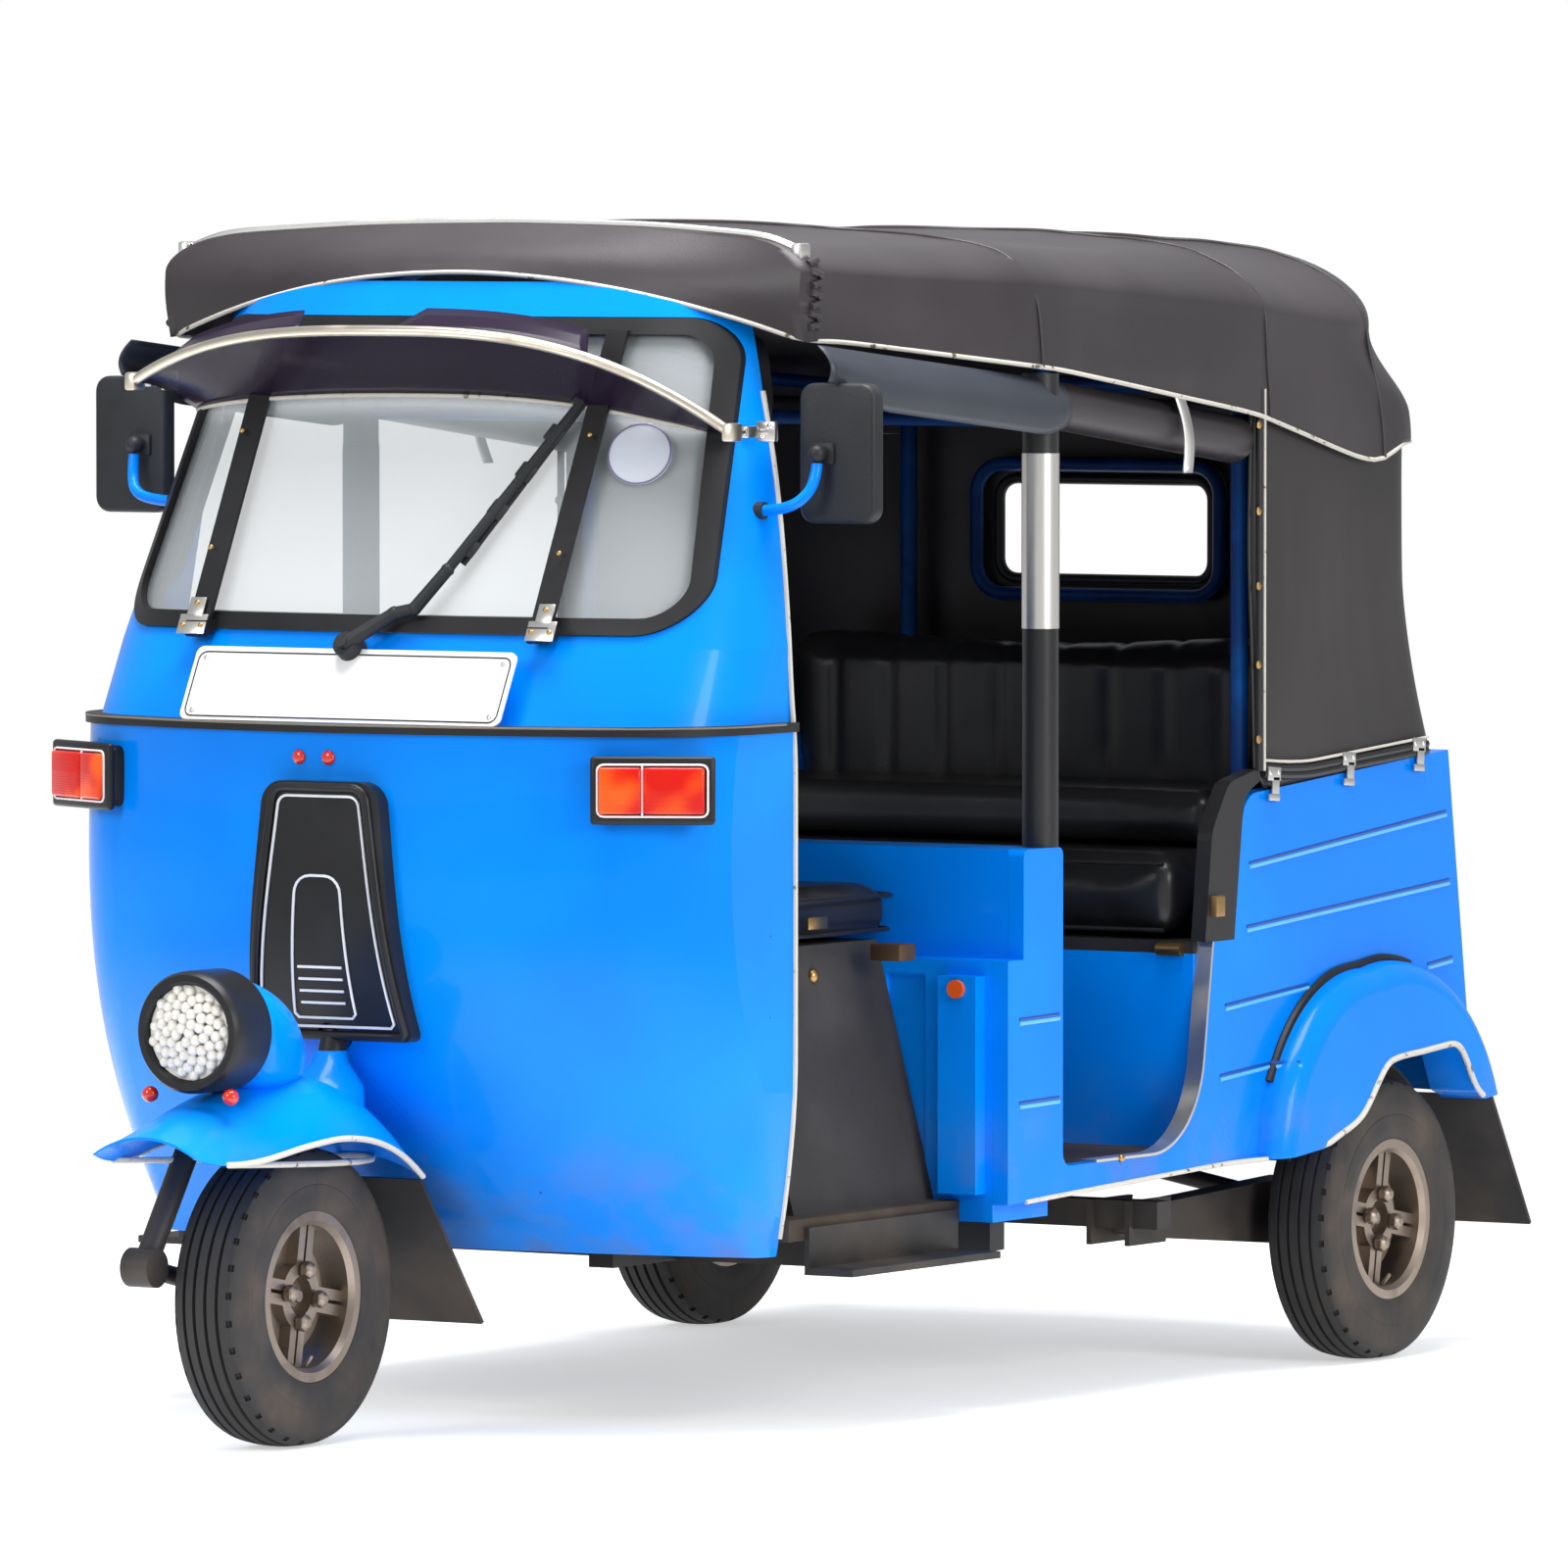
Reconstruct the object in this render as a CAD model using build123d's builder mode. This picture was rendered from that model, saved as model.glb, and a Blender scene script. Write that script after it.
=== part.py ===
"""Passenger auto rickshaw: one steered front wheel, two rear wheels, an open-sided cabin.

Millimetres. +X is the vehicle's left, +Y its rear, +Z up. The ground is Z = 0, and the origin
lies midway between the foremost and the rearmost point.
"""
import os
from math import atan2, cos, radians, sin, tan

from build123d import *

os.makedirs("parts", exist_ok=True)

# ---------------------------------------------------------------- overall layout
wheelbase = 2000.0
front_overhang = 340.0      # front axle to the beak of the front fender
rear_overhang = 400.0       # rear axle to the trailing edge of the rear mudflaps
track = 1150.0              # between the rear wheels' middle planes
front_axle_y = front_overhang - (front_overhang + wheelbase + rear_overhang) / 2
rear_axle_y = front_axle_y + wheelbase
left, right = 1, -1


def aft(distance):
    """Y of a point this far behind the front axle."""
    return front_axle_y + distance


# ---------------------------------------------------------------- fits and gauges
seat_gap = 0.3              # between pieces that rest on each other
moving_gap = 6.0            # between pieces that pass each other
panel = 25.0                # inner to outer skin of the tub's double walls
sheet = 4.0                 # single pressed sheet
cab_wall = 14.0             # cab nose, outer skin to inner lining
vinyl = 8.0                 # soft top with its lining

# ---------------------------------------------------------------- wheels
tyre_radius = 208.0
tyre_half = 52.0
bead_radius = 112.0
bead_half = 38.0
rim_half = 48.0
rim_lip = 118.0
barrel_radius = 99.0
hub_radius = 46.0
hub_bore = 27.0
drum_radius = 78.0
axle_radius = 14.0
axle_fit = 0.3
spoke_groups = 4
spoke_width = 15.0
spoke_apart = 20.0          # between the middles of a pair of spokes
stud_radius = 7.5
flare_cover = 23.0          # the flare's outer face beyond the tyre's side
flare_reach = 50.0          # the flare's outer face beyond the tub's side
flare_width = track + 2 * (tyre_half + flare_cover)
body_width = flare_width - 2 * flare_reach

# ---------------------------------------------------------------- steering
rake = 20.0                 # steering axis from the vertical
column_radius = 19.0
head_low, head_high, head_radius = 600.0, 720.0, 34.0   # tube in the nose that the column turns in
column_top = 960.0          # height of the handlebar clamp
bar_reach, bar_back, bar_rise = 260.0, 170.0, 20.0    # grip ends, from the column's top
bar_radius, grip_radius = 11.0, 17.0
crown_height = 452.0        # height of the fork crown on the steering axis
fork_x = -78.0              # the fork is one leg, on the vehicle's right
fork_radius = 17.0
pivot_station = -226.0      # link pivot, behind the front axle
pivot_height = 258.0
lamp_height = 582.0
lamp_station = -238.0
lamp_radius = 84.0
neck_station, neck_radius = -150.0, 22.0     # the headlamp's foot on the fender


def steer_y(height):
    """Y of the steering axis at a height; the axis passes through the wheel's centre."""
    return front_axle_y + (height - tyre_radius) * tan(radians(rake))


# ---------------------------------------------------------------- cabin stations and heights
sill_height = 295.0
floor_top = 300.0
floor_thick = 30.0
rear_floor_top = 341.0
post_front = 937.0          # behind the front axle, like the stations below
post_rear = 1089.0
post_top = 795.0
ledge_height = 640.0        # the driver's ledge and the passengers' deck are level
ledge_step = 43.0
jamb_high = 1514.0
jamb_foot = 1468.0
tub_rear_low = 2290.0
tub_rear_high = 2212.0
belt_front = 851.0          # height of the tub's top edge at the front of the quarter panel
belt_rear = 892.0
quarter_front = 1604.0
deck_height = ledge_height
deck_thick = 18.0
deck_front = 1500.0
nose_rear = 478.0           # rear edge of the cab's side, the driver's doorway
screen_low, screen_high = 1128.0, 1536.0

# Cab: plan outlines at a few heights. Each is a straight rear edge, straight sides, and a
# shallow front arc whose two corners are rounded.
# columns: height, front centre, front corner, half width, corner radius, rear edge
nose_sections = (
    (250.0, 372.0, 440.0, 500.0, 34.0, nose_rear),
    (330.0, 290.0, 392.0, 514.0, 80.0, nose_rear),
    (560.0, 138.0, 282.0, 535.0, 190.0, nose_rear),
    (800.0, 108.0, 252.0, 540.0, 200.0, nose_rear),
    (985.0, 104.0, 250.0, 532.0, 190.0, nose_rear),
)
cowl_sections = (
    (988.0, 150.0, 226.0, 524.0, 200.0, nose_rear),
    (1095.0, 203.0, 280.0, 521.0, 200.0, nose_rear),
)
screen_sections = (
    (1095.0, 203.0, 280.0, 521.0, 200.0, 560.0),
    (1598.0, 429.0, 496.0, 458.0, 200.0, 740.0),
)
# The canopy's arched front edge over the windscreen: half width, ends and middle.
arch_half, arch_low, arch_high = 530.0, 1516.0, 1611.0
# The doorway's front edge, seen from the side: stations and heights.
door_edge = ((nose_rear, 200.0), (nose_rear, 1095.0), (505.0, 1430.0), (536.0, 1640.0))


def cab_outline(section, inset, back):
    """Draw one plan outline of the cab, drawn in by `inset`, in the sketch being built."""
    height, front, corner, half, radius, rear = section
    side = half - inset
    edge = aft(corner) + inset
    with BuildLine() as line:
        Polyline((-side, edge), (-side, back), (side, back), (side, edge))
        ThreePointArc((side, edge), (0, aft(front) + inset), (-side, edge))
    make_face(line.edges())


def cab_form(sections, inset=0.0, below=0.0, above=0.0):
    """Solid through the plan outlines, drawn in by `inset` and run past its two ends."""
    last = len(sections) - 1
    rear_run = 80.0 if inset else 0.0
    with BuildPart() as form:
        for place, section in enumerate(sections):
            height, radius, rear = section[0], section[4], section[5]
            level = height - (below if place == 0 else 0) + (above if place == last else 0)
            with BuildSketch(Plane.XY.offset(level)) as outline:
                cab_outline(section, inset, aft(rear) + rear_run)
                corners = outline.vertices().sort_by(Axis.Y)[:2]
                fillet(corners, max(radius - inset, 6.0))
        loft(ruled=len(sections) == 2)
    return form.part


def glazing_outline(grow, front=100.0, rear=600.0):
    """The windscreen's outline seen from the front, as a solid through the cab's face."""
    low_half, high_half = 470.0 + grow, 418.0 + grow
    low, high = screen_low - grow, screen_high + grow
    with BuildPart() as form:
        with BuildSketch(Plane.XZ.offset(-aft(front))) as outline:
            Polygon((-low_half, low), (low_half, low), (high_half, high), (-high_half, high), align=None)
            fillet(outline.vertices(), 58.0 + grow)
        extrude(amount=front - rear)
    return form.part


def side_slab(points, x_outer, depth, side, radii=()):
    """Solid of a side-view outline (stations behind the front axle, heights).

    It runs `depth` inwards from x_outer. `radii` rounds the outline's corners: (index, radius).
    """
    inner = side * (x_outer - depth)
    with BuildPart() as slab:
        with BuildSketch(Plane.YZ.offset(min(side * x_outer, inner))) as outline:
            Polygon(*[(aft(station), height) for station, height in points], align=None)
            for index, radius in radii:
                station, height = points[index]
                corner = outline.vertices().sort_by_distance((aft(station), height, 0))[0]
                fillet(corner, radius)
        extrude(amount=depth)
    return slab.part


def side_region(points, width=1500.0):
    """Solid right across the vehicle with a side-view outline: stations and heights."""
    with BuildPart() as region:
        with BuildSketch(Plane.YZ.offset(-width / 2)):
            Polygon(*[(aft(station), height) for station, height in points], align=None)
        extrude(amount=width)
    return region.part


def header_arch(drop, front, rear, bottom):
    """The space under the canopy's arched front edge, `drop` below it, between two stations."""
    with BuildPart() as space:
        with BuildSketch(Plane.XZ.offset(-aft(front))):
            with BuildLine() as line:
                edge = arch_low - drop
                ThreePointArc((-arch_half, edge), (0, arch_high - drop), (arch_half, edge))
                Polyline((arch_half, edge), (arch_half, bottom), (-arch_half, bottom), (-arch_half, edge))
            make_face(line.edges())
        extrude(amount=front - rear)
    return space.part


def tube_run(points, radius, bend=60.0):
    """Round bar along straight runs joined by arcs."""
    with BuildPart() as run:
        with BuildLine() as path:
            if len(points) > 2:
                FilletPolyline(*points, radius=bend)
            else:
                Line(*points)
        with BuildSketch(Plane(origin=path.line @ 0, z_dir=path.line % 0)):
            Circle(radius)
        sweep(path=path.line)
    return run.part


def finish(part, name):
    """Label a piece and write it out."""
    part.label = name
    export_step(part, f"parts/{name}.step")


# ================================================================ wheels
def wheel_plane(x, y):
    return Plane(origin=(x, y, tyre_radius), x_dir=(1, 0, 0), z_dir=(0, -1, 0))


def make_tyre(name, x, y):
    with BuildPart() as tyre:
        with BuildSketch(wheel_plane(x, y)):
            with BuildLine():
                shoulder = tyre_radius - 10.0
                ThreePointArc((-bead_half, bead_radius), (-tyre_half, 160.0), (-43.0, shoulder))
                ThreePointArc((-43.0, shoulder), (0, tyre_radius), (43.0, shoulder))
                ThreePointArc((43.0, shoulder), (tyre_half, 160.0), (bead_half, bead_radius))
                Line((bead_half, bead_radius), (-bead_half, bead_radius))
            make_face()
        revolve(axis=Axis((x, y, tyre_radius), (1, 0, 0)))
    finish(tyre.part, name)


def make_rim(name, x, y, side):
    """Cast wheel with its brake drum; the open hub faces outboard."""
    hub_plane = Plane(origin=(x, y, tyre_radius), x_dir=(0, 1, 0), z_dir=(side, 0, 0))
    with BuildPart() as rim:
        with BuildSketch(wheel_plane(x, y)):
            with BuildLine():
                Polyline(
                    (-rim_half, barrel_radius + 6), (-rim_half, rim_lip), (-rim_half + 4, rim_lip),
                    (-rim_half + 4, bead_radius), (rim_half - 4, bead_radius), (rim_half - 4, rim_lip),
                    (rim_half, rim_lip), (rim_half, barrel_radius + 6), (rim_half - 8, barrel_radius),
                    (8 - rim_half, barrel_radius), close=True,
                )
            make_face()
        revolve(axis=Axis((x, y, tyre_radius), (1, 0, 0)))
        with BuildSketch(hub_plane.offset(10.0)):
            Circle(hub_radius)
            with PolarLocations(hub_radius, spoke_groups, start_angle=80):
                with Locations((0, spoke_apart / 2), (0, -spoke_apart / 2)):
                    SlotOverall(2 * (barrel_radius - hub_radius) + 12.0, spoke_width)
            Circle(barrel_radius + 4.0, mode=Mode.INTERSECT)
            Circle(hub_bore, mode=Mode.SUBTRACT)
        extrude(amount=18.0)
        with BuildSketch(hub_plane.offset(10.0)):
            with PolarLocations((hub_radius + hub_bore) / 2, spoke_groups, start_angle=80):
                Circle(stud_radius)
        extrude(amount=34.0)
        with BuildSketch(hub_plane.offset(-36.0)):
            Circle(drum_radius)
        extrude(amount=46.0)
        with BuildSketch(hub_plane.offset(-36.0)):
            Circle(axle_radius + axle_fit)
        extrude(amount=30.0, mode=Mode.SUBTRACT)
    finish(rim.part, name)


make_tyre("front_tyre", 0.0, front_axle_y)
make_rim("front_rim", 0.0, front_axle_y, left)
for word, side in (("left", left), ("right", right)):
    make_tyre(f"rear_tyre_{word}", side * track / 2, rear_axle_y)
    make_rim(f"rear_rim_{word}", side * track / 2, rear_axle_y, side)

# ================================================================ fork and what turns with it
crown_y = steer_y(crown_height)
leg_top = (fork_x, aft(-104.0), 436.0)
pivot = (fork_x, aft(pivot_station), pivot_height)
column = tube_run([(0, steer_y(column_top), column_top), (0, crown_y, crown_height)], column_radius)
leg = tube_run([leg_top, pivot], fork_radius)
crown = tube_run([(0, crown_y, crown_height), (fork_x, aft(-20.0), 449.0), leg_top], 14.0, bend=22.0)
link = tube_run([pivot, (fork_x, front_axle_y, tyre_radius)], 13.0)
with BuildPart() as steering_fork:
    add(column)
    with Locations((0, crown_y, crown_height)):
        Sphere(column_radius)
    add(crown)
    with Locations(leg_top):
        Sphere(fork_radius)
    add(leg)
    with BuildSketch(Plane.YZ.offset(fork_x - 22.0)):
        with Locations((aft(pivot_station), pivot_height)):
            Circle(27.0)
    extrude(amount=44.0)
    add(link)
    with BuildSketch(Plane.YZ.offset(fork_x - 18.0)):
        with Locations((front_axle_y, tyre_radius)):
            Circle(26.0)
    extrude(amount=36.0)
    with BuildSketch(Plane.YZ.offset(fork_x)):
        with Locations((front_axle_y, tyre_radius)):
            Circle(axle_radius)
    extrude(amount=-fork_x - 12.0)
finish(steering_fork.part, "steering_fork")

# Handlebar: a clamp on the column's top, two swept arms and two grips.
bar_y = steer_y(column_top)
bar_end = (bar_reach, bar_y + bar_back, column_top + bar_rise)
bar_bend = (bar_reach / 2, bar_y + 30.0, column_top + bar_rise)
grip_start = tuple(bend + (end - bend) * 0.35 for bend, end in zip(bar_bend, bar_end))
with BuildPart() as handlebar:
    with Locations((0, bar_y, column_top + 14.0)):
        Cylinder(30.0, 28.0)
    half = (bar_bend, bar_end)
    add(tube_run([(-x, y, z) for x, y, z in reversed(half)] + list(half), bar_radius))
    with Locations((0, bar_y + 20.0, column_top + 18.0)):
        Box(70.0, 60.0, 36.0)
    for side in (left, right):
        add(tube_run([(side * x, y, z) for x, y, z in (grip_start, bar_end)], grip_radius))
    add(steering_fork.part, mode=Mode.SUBTRACT)
finish(handlebar.part, "handlebar")

# Front fender: arched sections along its length, flat underneath, and hollow.
# columns: station, half width, rim height, crest height
fender_sections = (
    (-front_overhang, 84.0, 420.0, 446.0),
    (-180.0, 108.0, 414.0, 492.0),
    (-20.0, 116.0, 430.0, 514.0),
    (90.0, 116.0, 412.0, 488.0),
    (182.0, 112.0, 362.0, 396.0),
)


def fender_form(inset, drop):
    """The fender's form drawn in by `inset`, its underside `drop` below the rim."""
    with BuildPart() as form:
        for station, half, rim, crest in fender_sections:
            with BuildSketch(Plane.XZ.offset(-aft(station))):
                with BuildLine():
                    low = rim - drop
                    Polyline((-half + inset, rim), (-half + inset, low),
                             (half - inset, low), (half - inset, rim))
                    ThreePointArc((half - inset, rim), (0, crest - inset), (inset - half, rim))
                make_face()
        loft()
    return form.part


fender_outer = fender_form(0.0, 1.0)
fender_inner = fender_form(sheet, 60.0)
with BuildPart() as front_fender:
    add(fender_outer)
    add(fender_inner, mode=Mode.SUBTRACT)
    add(steering_fork.part, mode=Mode.SUBTRACT)
finish(front_fender.part, "front_fender")

# Headlamp: a round shell on a teardrop nacelle that runs back along the fender's crest.
with BuildPart() as headlamp:
    with BuildSketch(Plane.XZ.offset(-aft(lamp_station))):
        with Locations((0, lamp_height)):
            Circle(lamp_radius)
    extrude(amount=-96.0, taper=4.0)
    with BuildSketch(Plane.XZ.offset(-aft(lamp_station))):
        with Locations((0, lamp_height)):
            Circle(66.0)
    extrude(amount=-12.0, mode=Mode.SUBTRACT)
    with BuildSketch(Plane.XZ.offset(-aft(lamp_station + 96.0))):
        with Locations((0, lamp_height)):
            Circle(74.0)
    with BuildSketch(Plane.XZ.offset(-aft(30.0))):
        with Locations((0, lamp_height - 26.0)):
            Circle(26.0)
    loft()
    with BuildSketch(Plane.XY.offset(lamp_height)):
        with Locations((0, aft(neck_station))):
            Circle(neck_radius)
    extrude(amount=crown_height - lamp_height)
    add(fender_outer, mode=Mode.SUBTRACT)
finish(headlamp.part, "headlamp")

with BuildPart() as front_mudflap:
    with BuildSketch(Plane.YZ.offset(-108.0)):
        Polygon(
            (aft(176.0), 360.0), (aft(182.0), 361.0), (aft(339.0), 152.0), (aft(334.0), 149.0), align=None)
    extrude(amount=216.0)
finish(front_mudflap.part, "front_mudflap")

# ================================================================ cab
nose_outer = cab_form(nose_sections)
nose_inner = cab_form(nose_sections, cab_wall, below=1.0, above=-cab_wall)
cowl_outer = cab_form(cowl_sections, below=5.0)
cowl_inner = cab_form(cowl_sections, cab_wall, below=25.0, above=1.0)
screen_outer = cab_form(screen_sections)
screen_inner = cab_form(screen_sections, 34.0, below=1.0, above=20.0)
column_hole = tube_run(
    [(0, steer_y(crown_height), crown_height), (0, steer_y(column_top), column_top)],
    column_radius + moving_gap)
head_ends = [(0, steer_y(height), height) for height in (head_low, head_high)]
with BuildPart() as steering_head:
    add(tube_run(head_ends, head_radius))
    add(tube_run(head_ends, column_radius + seat_gap), mode=Mode.SUBTRACT)
    add(nose_outer, mode=Mode.INTERSECT)
with BuildPart() as cab_shell:
    add(nose_outer)
    add(cowl_outer)
    add(screen_outer)
    add(nose_inner, mode=Mode.SUBTRACT)
    add(cowl_inner, mode=Mode.SUBTRACT)
    add(screen_inner, mode=Mode.SUBTRACT)
    add(side_region((*door_edge, (60.0, 1640.0), (60.0, 200.0))), mode=Mode.INTERSECT)
    add(header_arch(seat_gap, 60.0, 720.0, 200.0), mode=Mode.INTERSECT)
    add(glazing_outline(14.0), mode=Mode.SUBTRACT)
    add(column_hole, mode=Mode.SUBTRACT)
    add(steering_head.part)
finish(cab_shell.part, "cab_shell")

glass_outer = cab_form(screen_sections, 6.0, below=1.0, above=1.0)
glass_inner = cab_form(screen_sections, 11.0, below=2.0, above=2.0)
with BuildPart() as windscreen_glass:
    add(glass_outer)
    add(glass_inner, mode=Mode.SUBTRACT)
    add(glazing_outline(0.0, rear=525.0), mode=Mode.INTERSECT)
finish(windscreen_glass.part, "windscreen_glass")

gasket_outer = cab_form(screen_sections, -5.0, below=1.0, above=1.0)
with BuildPart() as windscreen_gasket:
    add(gasket_outer)
    add(screen_inner, mode=Mode.SUBTRACT)
    add(glazing_outline(13.0, rear=560.0), mode=Mode.INTERSECT)
    add(glazing_outline(-10.0), mode=Mode.SUBTRACT)
    add(windscreen_glass.part, mode=Mode.SUBTRACT)
    add(cab_shell.part, mode=Mode.SUBTRACT)
finish(windscreen_gasket.part, "windscreen_gasket")

# Nose cover: a long bowed panel down the middle of the nose, wider at its foot.
cover_proud = 24.0
with BuildPart() as nose_cover:
    add(cab_form(nose_sections, -cover_proud))
    with BuildSketch(Plane.XZ.offset(-aft(40.0))) as outline:
        Polygon((-132, 553), (132, 553), (94, 912), (-94, 912), align=None)
        fillet(outline.vertices().group_by(Axis.Y)[-1], 36.0)
        fillet(outline.vertices().group_by(Axis.Y)[0], 12.0)
    extrude(amount=-200.0, mode=Mode.INTERSECT)
    add(nose_outer, mode=Mode.SUBTRACT)
    add(column_hole, mode=Mode.SUBTRACT)
finish(nose_cover.part, "nose_cover")

# Waist trim: a rubber strip round the nose where the cowl starts.
waist_section = nose_sections[-1]
waist_proud, waist_strip = 6.0, 13.0
with BuildPart() as waist_trim:
    for inset in (-waist_proud, 16.0):
        with BuildSketch(Plane.XY.offset(waist_section[0] - waist_strip / 2)) as outline:
            cab_outline(waist_section, inset, aft(nose_rear))
            fillet(outline.vertices().sort_by(Axis.Y)[:2], waist_section[4] - inset)
        extrude(amount=waist_strip, mode=Mode.ADD if inset < 0 else Mode.SUBTRACT)
    add(nose_outer, mode=Mode.SUBTRACT)
    add(cowl_outer, mode=Mode.SUBTRACT)
finish(waist_trim.part, "waist_trim")

# Number plate: blank, on two stand-offs over the cowl.
plate_width, plate_height, plate_thick = 530.0, 112.0, 3.0
plate_station, plate_centre, plate_tilt = 162.0, 1040.0, 27.0
standoff_apart, standoff_radius = 420.0, 9.0
plate_plane = Plane(
    origin=(0, aft(plate_station), plate_centre), x_dir=(1, 0, 0),
    z_dir=(0, -cos(radians(plate_tilt)), sin(radians(plate_tilt))))
with BuildPart() as number_plate:
    with BuildSketch(plate_plane) as outline:
        Rectangle(plate_width, plate_height)
        fillet(outline.vertices(), 12.0)
    extrude(amount=plate_thick)
    with BuildSketch(plate_plane):
        with GridLocations(standoff_apart, 1.0, 2, 1):
            Circle(standoff_radius)
    extrude(amount=-70.0)
    add(cowl_outer, mode=Mode.SUBTRACT)
    add(waist_trim.part, mode=Mode.SUBTRACT)
plate_solid = number_plate.part.solids().sort_by(SortBy.VOLUME)[-1]
finish(plate_solid, "number_plate")

# Front indicators: boxes at the nose's corners, turned to follow its rounding.
lamp_x, lamp_back, lamp_level, lamp_turn = 452.0, 232.0, 906.0, 28.0
lamp_width, lamp_tall, lamp_deep = 150.0, 84.0, 34.0
with BuildPart() as front_indicators:
    for side in (left, right):
        lamp_plane = Plane(
            origin=(side * lamp_x, aft(lamp_back), lamp_level),
            x_dir=(cos(radians(lamp_turn)), side * sin(radians(lamp_turn)), 0),
            z_dir=(side * sin(radians(lamp_turn)), -cos(radians(lamp_turn)), 0))
        with BuildSketch(lamp_plane) as outline:
            Rectangle(lamp_width, lamp_tall)
            fillet(outline.vertices(), 12.0)
        extrude(amount=lamp_deep)
        with BuildSketch(lamp_plane):
            Rectangle(lamp_width, lamp_tall)
        extrude(amount=-60.0)
    add(nose_outer, mode=Mode.SUBTRACT)
finish(front_indicators.part, "front_indicators")

# ================================================================ passenger tub
half_body = body_width / 2
inner_half = half_body - panel - seat_gap
wheel_cavity = tyre_radius + 27.0
tub_outline = (
    (post_front, sill_height), (1700.0, 322.0), (tub_rear_low, 380.0), (tub_rear_high, belt_rear),
    (quarter_front, belt_front - 3.0), (1576.0, ledge_height), (jamb_high, ledge_height),
    (jamb_foot, rear_floor_top), (post_rear, rear_floor_top), (post_rear, post_top),
    (post_front + ledge_step, post_top), (post_front + ledge_step, ledge_height),
    (post_front, ledge_height),
)
tub_rounds = ((4, 45.0), (7, 150.0), (8, 20.0), (9, 12.0), (10, 12.0))
flare_lip = (
    (1752.0, 240.0), (1752.0, 330.0), (1868.0, 366.0), (1940.0, 446.0), (2166.0, 462.0),
    (2206.0, 385.0), (2236.0, 376.0), (2236.0, 240.0),
)
flare_round = 0.45 * (flare_reach + panel)
flare_rounds = ((1, 14.0), (2, 60.0), (3, 50.0), (4, 36.0), (5, 16.0))


def make_side_panel(name, side):
    """Tub side with the wheel flare, from the doorway post to the rear corner."""
    flare_plane = Plane.YZ.offset(side * (half_body - panel))
    with BuildPart() as side_panel:
        with BuildSketch(flare_plane):
            with BuildLine():
                ThreePointArc((aft(1643.0), 326.0), (aft(1738.0), 512.0), (aft(1930.0), 582.0))
                ThreePointArc((aft(1930.0), 582.0), (aft(2176.0), 536.0), (aft(2297.0), 392.0))
                Polyline((aft(2297.0), 392.0), (aft(2292.0), 378.0),
                         (aft(1643.0), 318.0), (aft(1643.0), 326.0))
            make_face()
        extrude(amount=side * (flare_width / 2 - half_body + panel))
        crown = side_panel.edges().filter_by_position(
            Axis.X, side * flare_width / 2 - 1, side * flare_width / 2 + 1)
        fillet(crown.filter_by(GeomType.CIRCLE), flare_round)
        add(side_slab(tub_outline, half_body, panel, side, tub_rounds))
        with Locations(Location((side * (half_body - panel - 50.0), rear_axle_y, tyre_radius), (0, 90, 0))):
            cavity_depth = 2 * (flare_width / 2 - half_body + panel + 50.0 - 11.0)
            Cylinder(wheel_cavity, cavity_depth, mode=Mode.SUBTRACT)
        add(side_slab(flare_lip, flare_width / 2 + 5.0, 100.0, side, flare_rounds), mode=Mode.SUBTRACT)
    finish(side_panel.part, name)
    return side_panel.part


side_panel_left = make_side_panel("side_panel_left", left)
side_panel_right = make_side_panel("side_panel_right", right)

house_depth = 88.0
with BuildPart() as wheelhouses:
    for side in (left, right):
        house_plane = Plane(
            origin=(side * inner_half, rear_axle_y, tyre_radius), x_dir=(0, 1, 0), z_dir=(-side, 0, 0))
        with BuildSketch(house_plane):
            Circle(wheel_cavity + sheet)
        extrude(amount=house_depth)
        with BuildSketch(house_plane):
            Circle(wheel_cavity)
        extrude(amount=house_depth - sheet, mode=Mode.SUBTRACT)
    with BuildSketch(Plane.XY.offset(305.0)):
        with Locations((0, rear_axle_y)):
            Rectangle(1400.0, 700.0)
    extrude(amount=-400.0, mode=Mode.SUBTRACT)
finish(wheelhouses.part, "wheelhouses")

floor_half = 520.0
with BuildPart() as floor_pan:
    add(cab_form(nose_sections, cab_wall + seat_gap))
    with BuildSketch(Plane.XY.offset(floor_top - floor_thick)):
        with Locations((0, aft(0.0))):
            Rectangle(1200.0, 2 * nose_rear)
    extrude(amount=floor_thick, mode=Mode.INTERSECT)
    with BuildSketch(Plane.XY.offset(floor_top - floor_thick)):
        with Locations((0, aft((nose_rear + post_front) / 2))):
            Rectangle(2 * floor_half, post_front - nose_rear - 2 * seat_gap)
    extrude(amount=floor_thick)
    with BuildSketch(Plane.XY.offset(floor_top - floor_thick)):
        with Locations((0, aft(nose_rear))):
            Rectangle(900.0, 20.0)
    extrude(amount=floor_thick)
finish(floor_pan.part, "floor_pan")

# Steps: a plate under each doorway, hung from the floor's edge.
step_station, step_length, step_width, step_bottom, step_hang = 720.0, 400.0, 74.0, 222.0, 66.0
with BuildPart() as door_steps:
    for side in (left, right):
        hanger = floor_half + seat_gap + 4.0
        with Locations((side * (hanger + step_width / 2), aft(step_station), step_bottom + 5.0)):
            Box(step_width, step_length, 10.0)
        with Locations((side * hanger, aft(step_station), step_bottom + step_hang / 2)):
            Box(8.0, step_length, step_hang)
finish(door_steps.part, "door_steps")

with BuildPart() as rear_floor:
    with Locations((0, aft((post_rear + deck_front) / 2), rear_floor_top - floor_thick / 2)):
        Box(2 * inner_half, deck_front - post_rear - 2 * seat_gap, floor_thick)
finish(rear_floor.part, "rear_floor")

# Partition behind the driver, stepped forwards at its lower half and fluted there.
fold_low, fold_high = floor_top + 10.0, ledge_height - 22.0
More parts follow.
